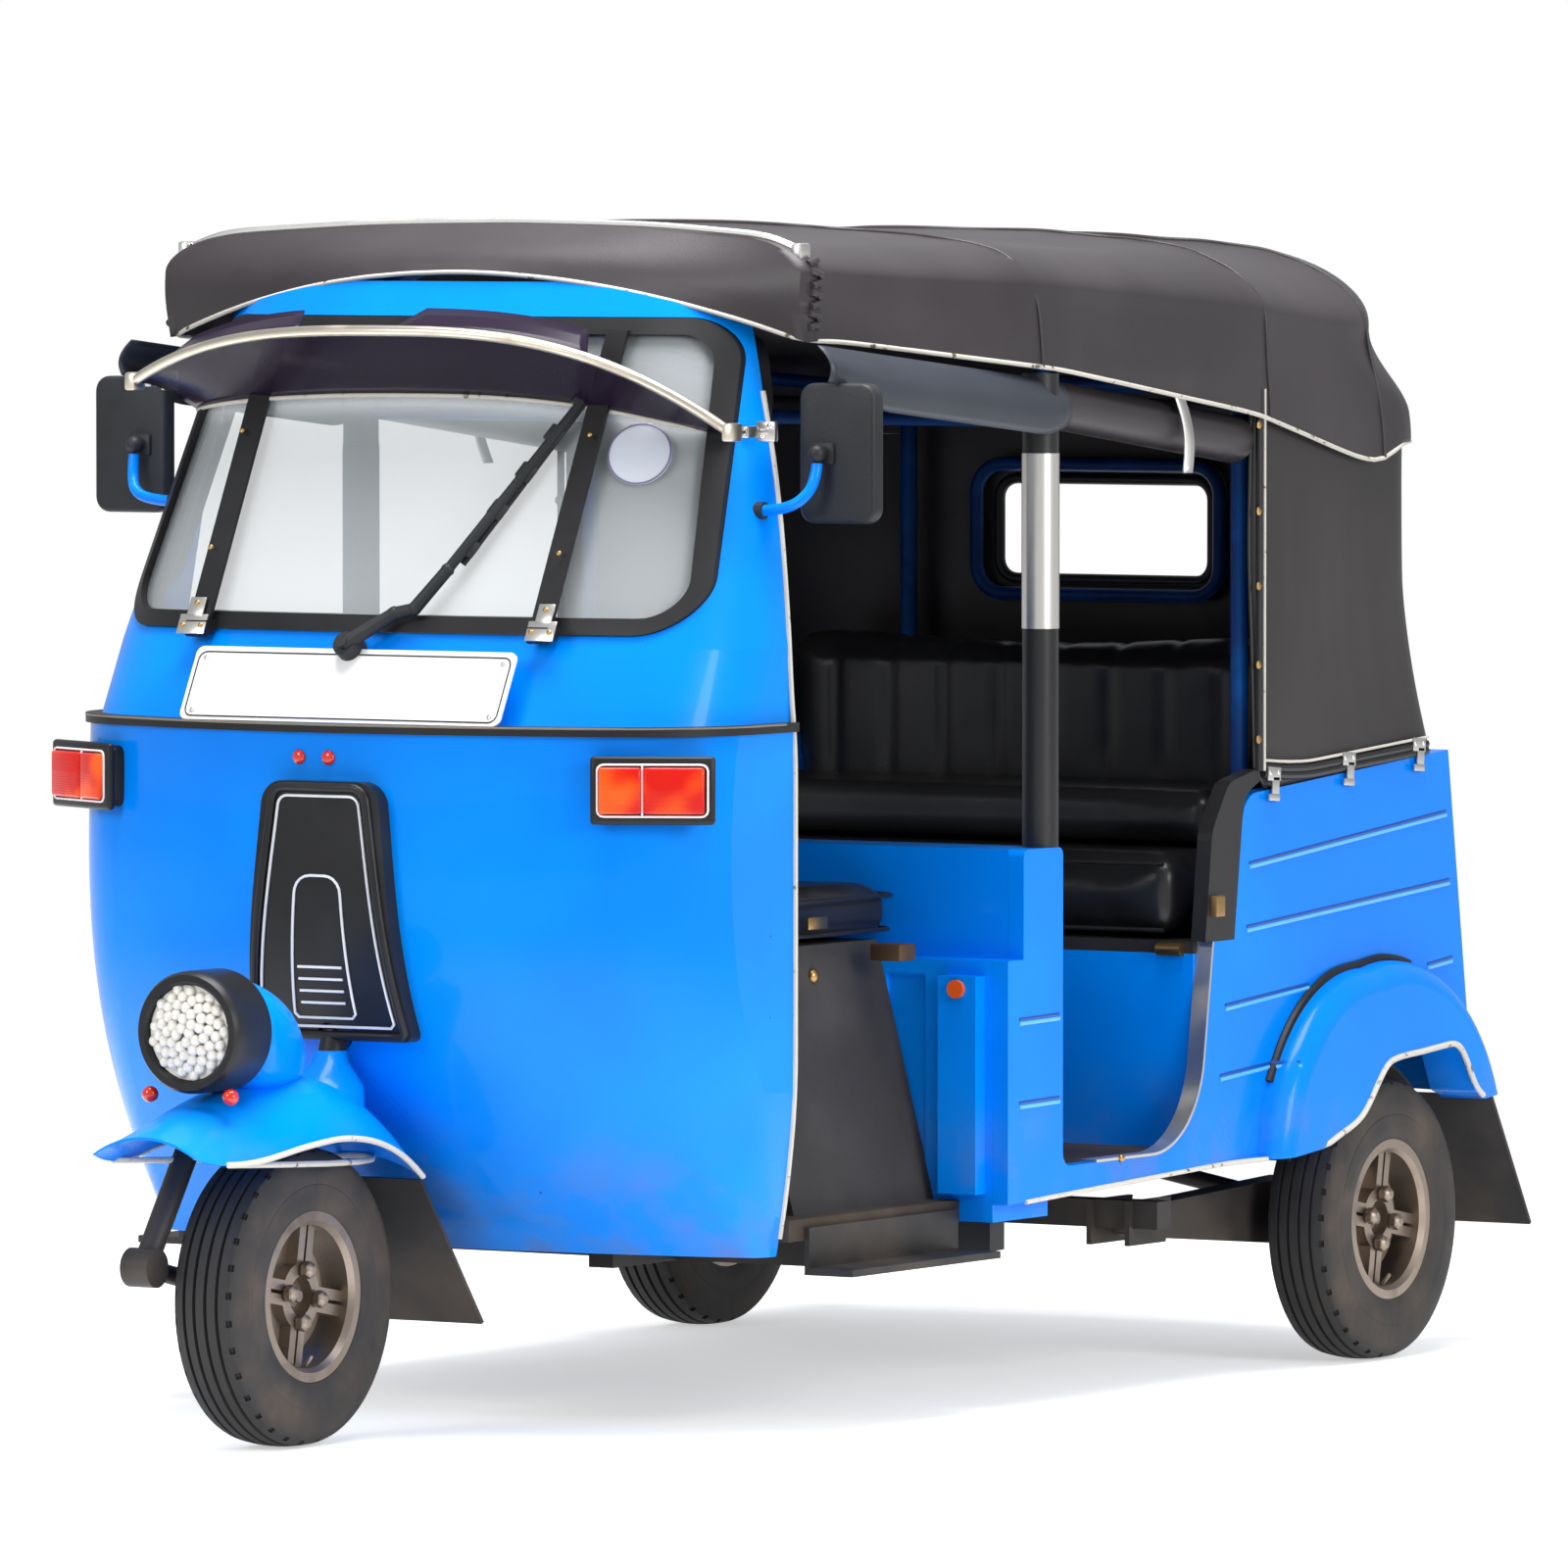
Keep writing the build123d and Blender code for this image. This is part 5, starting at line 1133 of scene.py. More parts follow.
def visor_bar(share):
    """The bar's line; share runs from -1 at the right end to 1 at the left."""
    drop = 0.138 if share > 0 else 0.076
    return Vector((share * VISOR_HALF, aft(0.250 + 0.114 * share ** 2), 1.531 - drop * abs(share) ** 2.8))


def visor_foot(share):
    """The sheet's lower line, close before the glass."""
    x = share * 0.446
    z = 1.440 - (0.052 if share > 0 else 0.026) * abs(share) ** 2.4
    spot, normal = touch("windscreen_glass", (x, aft(-1.0), z), (0, 1, 0))
    if spot is None:
        return Vector((x, aft(0.372 + 0.083 * share ** 2), z))
    return spot + Vector((0, -0.012, 0))


def grid_sheet(name, point, columns, rows, finish, thickness, slot="visor_tint", body="chassis", **keys):
    """A curved sheet: a flat grid from -1 to 1 each way, moved point by point."""
    shape = bmesh.new()
    bmesh.ops.create_grid(shape, x_segments=columns, y_segments=rows, size=1.0)
    for vert in shape.verts:
        vert.co = point(vert.co.x, (vert.co.y + 1) / 2)
    made = piece(name, shape, finish, body, slot=slot, sharp=60, **keys)
    modifier(made, "SOLIDIFY", thickness=thickness, offset=0)
    return made


def visor_point(share, up):
    low, high = visor_foot(share), visor_bar(share)
    crown = math.sin(math.pi * up) * 0.012
    return low.lerp(high, up) + Vector((0, -crown, crown))


grid_sheet("visor_sheet", visor_point, 48, 10, visor_tint, 0.003, replaces=("sun_visor",))
for name, start, end in (("right_visor_flap", -0.86, -0.30), ("left_visor_flap", 0.02, 0.62)):
    def flap_point(across_share, up, start=start, end=end):
        taper = 0.055 * up
        share = start + taper + (across_share + 1) / 2 * (end - start - 2 * taper)
        base = visor_bar(share)
        return base + Vector((0, 0.055 * up, 0.030 * up))

    grid_sheet(name, flap_point, 16, 3, visor_tint, 0.003)
bar_paint = metal("visor_bar_metal", (0.66, 0.60, 0.50), 0.34, (0.16, 0.10, 0.06), 0.6)
bar = bmesh.new()
bar_line = [visor_bar(-1 + step / 20) for step in range(41)]
add_wire(bar, bar_line, 0.0075, resolution=4)
for share in (-1.0, 1.0):
    end = visor_bar(share)
    add_box(bar, end + Vector((0, 0.004, 0)), (0.018, 0.030, 0.026), 0.004)
piece("visor_bar", bar, bar_paint, slot="metal_trim")
lower_line = bmesh.new()
foot_line = [visor_foot(-1 + step / 12) + Vector((0, -0.004, 0)) for step in range(25)]
add_wire(lower_line, foot_line, 0.0030, resolution=4)
piece("visor_lower_edge", lower_line, cream_bead, slot="metal_trim")
brackets = bmesh.new()
for side in (LEFT, RIGHT):
    end = visor_bar(side)
    anchor = on_side("cab_shell", side, 0.455, end.z + 0.006, 0.0) or end + Vector((0, 0.1, 0))
    spot, normal = touch("cab_shell", (side * 0.475, aft(-0.5), 1.440), (0, 1, 0))
    post = spot + normal * 0.004 if spot is not None else anchor
    add_rod(brackets, end, post, 0.0045)
    add_box(brackets, post + Vector((0, -0.004, 0)), (0.030, 0.010, 0.028), 0.002)
    add_box(brackets, end.lerp(post, 0.5), (0.012, 0.030, 0.016), 0.002)
    for shift in (-0.006, 0.008):
        add_dome(brackets, post + Vector((shift, -0.010, shift)), 0.005, 0.6, (0, -1, 0))
piece("visor_brackets", brackets, steel_sleeve, slot="metal_trim")
print("visor hung over", round(2 * VISOR_HALF, 2), "m")

# %% [markdown]
# Steel feet clamp the two straps to the windscreen's lower seal, and small bolts hold their tops.

# %% Strap feet
strap_feet = bmesh.new()
strap_bolts = bmesh.new()
for side in (LEFT, RIGHT):
    foot, normal = touch("visor_straps", (side * 0.289, aft(-1.0), 1.116), (0, 1, 0))
    if foot is None:
        foot, normal = touch("windscreen_gasket", (side * 0.289, aft(-1.0), 1.124), (0, 1, 0))
    slope = math.atan2(0.199, 0.408)
    turn = Matrix.Rotation(-slope, 4, "X")
    out = Vector((0, -math.cos(slope), math.sin(slope)))
    up = Vector((0, math.sin(slope), math.cos(slope)))
    base = foot + out * 0.002
    add_box(strap_feet, base + up * 0.004, (0.046, 0.003, 0.030), 0.001, turn)
    add_box(strap_feet, base + up * 0.030, (0.026, 0.003, 0.030), 0.001, turn)
    add_dome(strap_bolts, base + up * 0.036 + out * 0.002, 0.0042, 0.6, out)
    for shift in (-0.015, 0.015):
        add_dome(strap_bolts, base + up * 0.002 + out * 0.002 + Vector((shift, 0, 0)), 0.0038, 0.6, out)
    for up_by in (0.12, 0.30):
        add_dome(strap_bolts, base + up * up_by + out * 0.006, 0.004, 0.5, out)
piece("strap_feet", strap_feet, steel_sleeve, slot="metal_trim")
piece("strap_bolts", strap_bolts, brass, slot="metal_trim")

# %% [markdown]
# ## Wiper
# The wiper's spindle sits in a boss over the plate. Its arm cranks twice and then runs straight
# up the glass, with the blade carrier and the rubber clipped along its upper half.

# %% Wiper arm and blade
def on_screen(x, z, lift):
    spot, normal = touch("windscreen_glass", (x, aft(-1.0), z), (0, 1, 0))
    if spot is None:
        spot, normal = touch("windscreen_gasket", (x, aft(-1.0), z), (0, 1, 0))
    return spot + Vector((0, -0.9, 0.45)).normalized() * lift


boss_low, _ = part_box("wiper")
boss = Vector((-0.012, boss_low.y + 0.016, 1.094))
wiper = bmesh.new()
add_rod(wiper, boss + Vector((0, 0.014, -0.006)), boss + Vector((0, -0.012, 0.006)), 0.021, 0.018, 24)
add_rod(wiper, boss + Vector((0, -0.012, 0.006)), boss + Vector((0, -0.020, 0.010)), 0.010, sides=6)
elbow_a, elbow_b = on_screen(0.050, 1.129, 0.026), on_screen(0.080, 1.136, 0.026)
knee = on_screen(0.118, 1.190, 0.026)
tip = on_screen(0.262, 1.432, 0.020)
for start, end, width in ((boss + Vector((0, -0.012, 0.004)), elbow_a, 0.0105), (elbow_a, elbow_b, 0.0095),
                          (elbow_b, knee, 0.0095), (knee, tip, 0.0075)):
    add_rod(wiper, start, end, width, width * 0.92, 12)
    add_dome(wiper, end, width * 1.05)
blade_start, blade_end = on_screen(0.128, 1.205, 0.010), on_screen(0.262, 1.440, 0.010)
add_rod(wiper, blade_start, blade_end, 0.0055, sides=8)
for share in (0.08, 0.30, 0.52, 0.74, 0.95):
    middle = blade_start.lerp(blade_end, share)
    lean = (blade_end - blade_start).to_track_quat("Z", "Y").to_matrix().to_4x4()
    add_box(wiper, middle + Vector((0, -0.008, 0.004)), (0.016, 0.022, 0.026), 0.003, lean)
piece("wiper_arm", wiper, black_plastic, replaces=("wiper",), slot="black_plastic")
print("wiper reaches", [round(v, 3) for v in tip])

# %% [markdown]
# ## Mirrors
# Each mirror is a rounded black shell with a glass on its rear face. A short bent blue arm comes
# out of the pillar and turns up into a ball joint at the shell's middle.

# %% Mirrors
mirror_glass = Finish("mirror_glass", (0.80, 0.82, 0.84), 0.03, metallic=1.0)
for side, name in ((LEFT, "left"), (RIGHT, "right")):
    low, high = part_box("mirror_" + name)
    centre = Vector((side * 0.590, (low.y + high.y) / 2, 1.363))
    centre.y = high.y - 0.012
    shell = bmesh.new()
    made = add_box(shell, centre, (0.122, 0.024, 0.194), 0.0)
    upright = [e for e in shell.edges if abs(e.verts[0].co.y - e.verts[1].co.y) > 0.01]
    bmesh.ops.bevel(shell, geom=upright, offset=0.022, segments=6, profile=0.5, affect="EDGES", material=-1)
    bmesh.ops.recalc_face_normals(shell, faces=shell.faces)
    front = [f for f in shell.faces if f.normal.y < -0.9]
    rim_edges = list({e for f in front for e in f.edges})
    bmesh.ops.bevel(shell, geom=rim_edges, offset=0.007, segments=4, profile=0.5, affect="EDGES", material=-1)
    back = [f for f in shell.faces if f.normal.y > 0.9]
    bmesh.ops.inset_region(shell, faces=back, thickness=0.004, depth=0.0)
    bmesh.ops.inset_region(shell, faces=[f for f in shell.faces if f.normal.y > 0.9 and f.calc_area() > 0.01],
                           thickness=0.001, depth=-0.002)
    piece(f"mirror_shell_{name}", shell, black_plastic, replaces=("mirror_" + name,), slot="black_plastic")
    glass = bmesh.new()
    add_box(glass, centre + Vector((0, 0.0105, 0)), (0.106, 0.002, 0.178), 0.0)
    corners = [e for e in glass.edges if abs(e.verts[0].co.y - e.verts[1].co.y) > 0.001]
    bmesh.ops.bevel(glass, geom=corners, offset=0.018, segments=5, profile=0.5, affect="EDGES", material=-1)
    piece(f"mirror_face_{name}", glass, mirror_glass, slot="glass")
    arm = bmesh.new()
    root_z = 1.285
    root = on_side("cab_shell", side, 0.455, root_z, -0.004) or Vector((side * 0.50, aft(0.455), root_z))
    ball = centre + Vector((-side * 0.020, -0.030, 0.000))
    path = [root, root + Vector((side * 0.030, -0.004, 0.0)), root + Vector((side * 0.070, -0.006, 0.010)),
            Vector((ball.x, ball.y - 0.004, root_z + 0.036)), ball + Vector((0, 0, -0.014))]
    add_wire(arm, path, 0.0078, resolution=10)
    piece(f"mirror_arm_{name}", arm, blue_frame, slot="body_paint")
    joint = bmesh.new()
    add_dome(joint, ball, 0.0125, 1.0, (0, 0, 1), 3)
    add_rod(joint, ball, ball + Vector((0, 0.020, 0)), 0.009)
    add_box(joint, ball + Vector((0, 0.016, 0)), (0.036, 0.008, 0.030), 0.003)
    add_rod(joint, root + Vector((-side * 0.004, 0, 0)), root + Vector((side * 0.012, 0, 0)), 0.012)
    piece(f"mirror_joint_{name}", joint, black_plastic, slot="black_plastic")
print("mirrors set")

# %% [markdown]
# ## Padded seats
# The seats are foam under vinyl. Each starts as a rounded box a little smaller than its solid,
# is remeshed into an even skin, and is blown up by a short cloth simulation with gravity off,
# which crowns the faces and pulls the edges in. A cap keeps any point from moving too far, and
# what rests on wood stays flat. The sewn channels are pressed in afterwards.

# %% Cushion maker
def cushion(name, low, high, finish, replaced, channels=(), channel_axis=0, seam_up=None, pull=0.013,
            flat_sides=("bottom",), radius=0.030, voxel=0.010):
    low, high = Vector(low), Vector(high)
    shrink = 0.006
    shape = bmesh.new()
    add_box(shape, (low + high) / 2, tuple((high - low) - Vector((2, 2, 2)) * shrink), radius, None, 4)
    data = bpy.data.meshes.new(name)
    shape.to_mesh(data)
    shape.free()
    made = bpy.data.objects.new(name, data)
    bpy.context.scene.collection.objects.link(made)
    modifier(made, "REMESH", mode="VOXEL", voxel_size=voxel)
    bake(made)
    before = [v.co.copy() for v in made.data.vertices]
    simulate(made)
    for vert, rest in zip(made.data.vertices, before):
        move = vert.co - rest
        if move.length > pull:
            move *= pull / move.length
        spot = rest + move
        for axis in range(3):
            spot[axis] = max(low[axis], min(high[axis], spot[axis]))
        if "bottom" in flat_sides:
            hold = 1 - ease(rest.z, low.z + shrink, low.z + 0.035)
            spot.z = spot.z * (1 - hold) + rest.z * hold
        if "back" in flat_sides:
            hold = ease(rest.y, high.y - 0.035, high.y - shrink)
            spot.y = spot.y * (1 - hold) + rest.y * hold
        vert.co = spot
    for vert in made.data.vertices:
        for channel in channels:
            gap = abs(vert.co[channel_axis] - channel)
            if gap < 0.016:
                press = 0.0065 * (1 - gap / 0.016) ** 2
                vert.co -= vert.normal * press
        if seam_up is not None:
            gap = abs(vert.co.z - seam_up)
            if gap < 0.010 and vert.co.y < low.y + 0.05:
                vert.co -= vert.normal * 0.004 * (1 - gap / 0.010)
        wrinkle = noise.noise(vert.co * 16) * 0.0016 + noise.noise(vert.co * 45) * 0.0005
        vert.co += vert.normal * min(0.0, wrinkle)
    made.data.materials.append(finish.material)
    made.data.shade_smooth()
    modifier(made, "SMOOTH", factor=0.5, iterations=2)
    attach(made, "chassis")
    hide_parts(*replaced)
    return made


def bake(made):
    """Applies every modifier of an object."""
    depsgraph = bpy.context.evaluated_depsgraph_get()
    done = bpy.data.meshes.new_from_object(made.evaluated_get(depsgraph))
    made.modifiers.clear()
    old, made.data = made.data, done
    bpy.data.meshes.remove(old)


def simulate(made):
    """Ten frames of cloth under pressure, then kept as the mesh."""
    cloth = made.modifiers.new("cloth", "CLOTH")
    cloth.settings.quality = 4
    cloth.settings.use_pressure = True
    cloth.settings.uniform_pressure_force = 4
    cloth.settings.effector_weights.gravity = 0
    cloth.settings.tension_stiffness = 25
    cloth.settings.bending_stiffness = 2
    cloth.collision_settings.use_collision = False
    scene = bpy.context.scene
    scene.frame_start, scene.frame_end = 1, 10
    cloth.point_cache.frame_start, cloth.point_cache.frame_end = 1, 10
    for frame_number in range(1, 11):
        scene.frame_set(frame_number)
    bake(made)
    scene.frame_set(1)


def node_box(name, grow=0.0):
    low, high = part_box(name)
    return low - Vector((grow, grow, 0)), high + Vector((grow, grow, grow))


# %% The seats
low, high = node_box("driver_seat")
cushion("driver_cushion", low, high, seat_vinyl, ("driver_seat",), radius=0.028, seam_up=None)
low, high = node_box("passenger_seat_lower")
cushion("passenger_box_cushion", low, high, seat_vinyl, ("passenger_seat_lower",), radius=0.030)
low, high = node_box("passenger_seat_upper")
cushion("passenger_pad", low, high, seat_vinyl, ("passenger_seat_upper",), radius=0.022,
        seam_up=low.z + 0.050)
low, high = node_box("passenger_backrest")
spread = [low.x + (high.x - low.x) * step / 9 for step in range(1, 9)]
cushion("passenger_back_cushion", low, high, seat_vinyl, ("passenger_backrest",), channels=spread,
        flat_sides=("bottom", "back"), radius=0.034)
print("four cushions stuffed")

# %% [markdown]
# Thin piping runs round the driver's cushion and along the front of the passenger pad, and a
# brass hasp hangs on the driver's box. A line of stitches edges the pad.

# %% Seat details
welt = bmesh.new()
low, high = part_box("driver_seat")


def round_plan(low, high, z, inset, radius=0.035, steps=4):
    """A level outline with round corners."""
    ring = []
    x0, x1, y0, y1 = low.x + inset, high.x - inset, low.y + inset, high.y - inset
    for cx, cy, start in ((x1 - radius, y1 - radius, 0), (x0 + radius, y1 - radius, 90),
                          (x0 + radius, y0 + radius, 180), (x1 - radius, y0 + radius, 270)):
        for step in range(steps + 1):
            angle = math.radians(start + 90 * step / steps)
            ring.append(Vector((cx + radius * math.cos(angle), cy + radius * math.sin(angle), z)))
    return ring


add_wire(welt, round_plan(low, high, high.z - 0.018, 0.001), 0.0032, closed=True, smooth=False, sides=2)
add_wire(welt, round_plan(low, high, low.z + 0.014, 0.004), 0.0032, closed=True, smooth=False, sides=2)
box_low, box_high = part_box("passenger_seat_lower")
front_y = box_low.y + 0.005
for z in (box_high.z - 0.016, box_low.z + 0.014):
    add_wire(welt, [Vector((box_low.x + 0.02, front_y, z)), Vector((0, front_y, z)),
                    Vector((box_high.x - 0.02, front_y, z))], 0.0032, smooth=False, sides=2)
piece("seat_welts", welt, trim_vinyl, slot="seat_vinyl")
hasp = bmesh.new()
hasp_x, hasp_y, hasp_z = high.x - 0.004, low.y + 0.085, low.z - 0.004
add_box(hasp, (hasp_x + 0.006, hasp_y, hasp_z), (0.006, 0.052, 0.022), 0.002)
add_box(hasp, (hasp_x + 0.010, hasp_y - 0.014, hasp_z + 0.002), (0.008, 0.018, 0.030), 0.003)
add_dome(hasp, (hasp_x + 0.012, hasp_y + 0.010, hasp_z), 0.007, 0.8, (1, 0, 0))
piece("seat_hasp", hasp, brass, slot="metal_trim")
print("seat details done")

# %% [markdown]
# ## Beads, grooves and seals on the panels
# Pale beads are pressed over every free edge: the cab's door edge, the sill, the flares and the
# fender. Their routes are found by rays, so they lie on the panels. The tub's sides are stiffened by
# shallow pressed grooves, each drawn as a pale blue ridge, a painted highlight, under a thin dark
# blue line of painted shade.

# %% Pale edge beads
SIDE_NAMES = {LEFT: "left", RIGHT: "right"}
beads = bmesh.new()
for side in (LEFT, RIGHT):
    out = Vector((side * 0.0008, 0, 0))
    door_edge = evened([rearmost("cab_shell", side, 0.275 + step * 0.0335, 0.40, 0.56) for step in range(36)])
    add_wire(beads, [p + out for p in door_edge], 0.0042, resolution=2, sides=2)
    panel = "side_panel_" + SIDE_NAMES[side]
    sill = evened([lowest(panel, side, 0.985 + step * 0.047, 0.285, 0.36) for step in range(15)])
    add_wire(beads, [p + out for p in sill], 0.0034, resolution=2, sides=2)
    flare = evened([lowest(panel, side, 1.735 + step * 0.0165, 0.30, 0.60) for step in range(31)], 1)
    add_wire(beads, [p + out for p in flare], 0.0046, resolution=2, sides=2)
piece("edge_beads", beads, cream_bead, slot="metal_trim")
fender_bead = bmesh.new()
lip = [lowest("front_fender", LEFT, 0.178 - step * 0.0245, 0.34, 0.52) for step in range(21)]
for x in (0.08, 0.04, 0.0, -0.04, -0.08):
    for step in range(40):
        above = on_front("front_fender", x, 0.3612 + step * 0.002)
        if above is not None and on_front("front_fender", x, 0.3592 + step * 0.002) is None:
            lip.append(above)
lip += [lowest("front_fender", RIGHT, -0.312 + step * 0.0245, 0.34, 0.52) for step in range(21)]
add_wire(fender_bead, evened(lip, 1), 0.0042, resolution=2, sides=2)
piece("fender_bead", fender_bead, cream_bead, "steering", slot="metal_trim")
print("edges beaded")

# %% Pressed grooves and flare seals
# columns: station and height at the front end, then at the rear end
PRESSED_GROOVES = (
    (1.619, 0.743, 2.205, 0.795),
    (1.611, 0.651, 2.215, 0.693),
    (1.549, 0.540, 1.793, 0.559),
    (1.535, 0.439, 1.701, 0.451),
    (2.150, 0.570, 2.225, 0.577),
    (0.968, 0.550, 1.078, 0.552),
    (0.968, 0.432, 1.078, 0.434),
)
# The pale blue wire is a painted highlight along each groove's lit lower edge, and the deep blue wire 6 mm
# above it is painted shade inside the groove.
groove_highlight_paint = Finish("groove_highlight_paint", (0.10, 0.46, 0.98), 0.3)
groove_shadow_paint = Finish("groove_shadow_paint", (0.0, 0.055, 0.30), 0.4)
highlight_wires, shadow_wires, seals = bmesh.new(), bmesh.new(), bmesh.new()
for side in (LEFT, RIGHT):
    panel = "side_panel_" + SIDE_NAMES[side]
    for front, front_z, rear, rear_z in PRESSED_GROOVES:
        for shape, rise, radius in ((highlight_wires, 0.0, 0.0032), (shadow_wires, 0.0062, 0.0024)):
            route = [on_side(panel, side, front + (rear - front) * step / 8,
                             front_z + (rear_z - front_z) * step / 8 + rise, -0.0006) for step in range(9)]
            add_wire(shape, [p for p in route if p is not None], radius, smooth=False, sides=2)
    seal = []
    for step in range(26):
        station = 1.672 + step * 0.0165
        for drop in range(110):
            spot = on_side(panel, side, station, 0.74 - drop * 0.004)
            if spot is not None and abs(spot.x) > 0.606:
                seal.append(Vector((side * 0.603, spot.y, spot.z + 0.004)))
                break
    if len(seal) > 3:
        add_wire(seals, evened(seal), 0.0075, resolution=3, sides=2)
piece("painted_groove_highlights", highlight_wires, groove_highlight_paint, slot="body_paint")
piece("painted_groove_shadows", shadow_wires, groove_shadow_paint, slot="body_paint")
if seals.verts:
    piece("flare_seals", seals, seal_rubber, slot="rubber")
print("grooves pressed")

# %% [markdown]
# ## Rain flaps and straps
# A slate vinyl flap hangs from the roof over each front doorway, to keep the rain off the driver.
# A short strap with pale edges holds each rolled curtain up.

# %% Rain flaps and curtain straps
slate_vinyl = vinyl("slate_vinyl", (0.030, 0.034, 0.045), 0.34)


def rain_flap(side):
    def flap_spot(along, down):
        share = (along + 1) / 2
        station = 0.470 + share * 0.630
        top = 1.512 - share * 0.058
        hang = (0.050 + 0.030 * ease(share, 0.0, 0.25)) * ease(1 - share, -0.25, 0.12)
        bulge = 0.020 * math.sin(math.pi * min(1.0, down * 0.75 + 0.1))
        x = 0.566 + bulge + 0.014 * share + 0.014 * down
        return Vector((side * x, aft(station), top - hang * down))

    flap = grid_sheet("rain_flap_" + SIDE_NAMES[side], flap_spot, 36, 8, slate_vinyl, 0.002, slot="vinyl")


def curtain_strap(side):
    def strap_spot(across_share, down):
        x = 0.5985 + 0.010 * math.sin(math.pi * down)
        return Vector((side * x, aft(1.412 + across_share * 0.013 + 0.030 * down), 1.436 - 0.118 * down))

    grid_sheet("roll_strap_" + SIDE_NAMES[side], strap_spot, 2, 10, aluminium, 0.0022, slot="metal_trim")


for side in (LEFT, RIGHT):
    rain_flap(side)
    curtain_strap(side)
print("flaps and straps hung")

# %% Sticker disc, hooks and latches
disc, disc_ring, fittings, warm_block = bmesh.new(), bmesh.new(), bmesh.new(), bmesh.new()
spot, normal = touch("windscreen_glass", (0.348, aft(-1.0), 1.361), (0, 1, 0))
add_rod(disc, spot + normal * 0.0010, spot + normal * 0.0030, 0.046, sides=48)
flat_x = Vector((1, 0, 0)) - normal * normal.x
flat_x.normalize()
flat_z = normal.cross(flat_x)
circle = [spot + normal * 0.0032 + (flat_x * math.cos(a) + flat_z * math.sin(a)) * 0.0445
          for a in (math.radians(10 * step) for step in range(36))]
add_wire(disc_ring, circle, 0.0013, closed=True, smooth=False, sides=2)
pale_disc = Finish("pale_disc", (0.62, 0.66, 0.74), 0.35)
piece("sticker_disc", disc, pale_disc, slot="plate_white")
piece("sticker_ring", disc_ring, Finish("sticker_ring", (0.16, 0.13, 0.26), 0.4), slot="plate_white")
for side in (LEFT, RIGHT):
    for node, station, z, size in (("quarter_bands", 1.520, 0.691, (0.012, 0.024, 0.030)),
                                   ("driver_seat", 0.745, 0.697, (0.005, 0.052, 0.018)),
                                   ("jamb_trims", 1.452, 0.600, (0.008, 0.010, 0.010))):
        spot = on_side(node, side, station, z)
        if spot is not None:
            add_box(fittings, spot + Vector((side * size[0] * 0.4, 0, 0)), size, 0.0018)
    for node, station, z, radius in (("driver_seat_base", 0.745, 0.622, 0.011),
                                     ("jamb_trims", 1.452, 0.590, 0.007),
                                     ("jamb_trims", 1.250, 0.343, 0.006)):
        spot = on_side(node, side, station, z)
        if spot is not None:
            add_dome(fittings, spot, radius, 0.8, (side, 0, 0), 3)
    add_rod(fittings, (side * 0.520, aft(1.494), 0.628), (side * 0.560, aft(1.494), 0.628), 0.010, sides=18)
    add_box(warm_block, (side * 0.452, aft(0.868), 0.652), (0.050, 0.044, 0.024), 0.003)
piece("cabin_fittings", fittings, brass, slot="metal_trim")
piece("ledge_blocks", warm_block, metal("block_brown", (0.16, 0.10, 0.06), 0.6), slot="metal_trim")
button = bmesh.new()
for side in (LEFT, RIGHT):
    spot, normal = touch("partition", (side * 0.532, aft(0.2), 0.600), (0, 1, 0))
    add_rod(button, spot + Vector((0, 0.001, 0)), spot + Vector((0, -0.007, 0)), 0.013, sides=24)
piece("partition_reflectors", button, Finish("orange_reflector", (0.75, 0.10, 0.01), 0.25), slot="lamp_red")
print("small fittings placed")

# %% [markdown]
# ## Roof rail and laced corners
# A rolled aluminium rail clamps the hood's front edge. Brown rivets hold it, and at each end the
# vinyl is gathered by lacing, which stands proud in short puckers.

# %% Rail and lacing
rail, rail_rivets, puckers, lace = bmesh.new(), bmesh.new(), bmesh.new(), bmesh.new()


def rail_spot(share):
    """A point on the hood's front top edge."""
    x = share * 0.512
    station = RAIL_STATION + 0.020 + RAIL_BOW * (1 - share ** 2)
    return touch_hood((x, aft(station), 1.9), (0, 0, -1))[0]


def touch_hood(start, aim):
    """Where a ray first meets the hood's skin."""
    spot, normal, _, _ = hood_tree.ray_cast(Vector(start), Vector(aim).normalized())
    return spot, normal


hood_tree = ray_tree(hood_skin.data)
rail_line = [p for p in (rail_spot(-1 + step / 14) for step in range(29)) if p is not None]
for lift, drop, radius in ((0.004, 0.000, 0.0068), (-0.002, -0.012, 0.0072)):
    raised = [p + Vector((0, drop, lift + drop * 0.5)) for p in rail_line]
    add_wire(rail, raised, radius, resolution=3, sides=3)
for end in (rail_line[0], rail_line[-1]):
    add_box(rail, end + Vector((0, -0.002, 0.004)), (0.016, 0.030, 0.024), 0.004)
for step in range(9):
    spot = rail_line[2 + round(step * (len(rail_line) - 5) / 8)]
    add_dome(rail_rivets, spot + Vector((0, -0.018, -0.008)), 0.0072, 0.6, (0, -1, 0.2), 2)
piece("roof_rail", rail, aluminium, slot="metal_trim", replaces=("front_rail",))
piece("roof_rail_rivets", rail_rivets, metal("rivet_brown", (0.30, 0.14, 0.06), 0.5), slot="metal_trim")
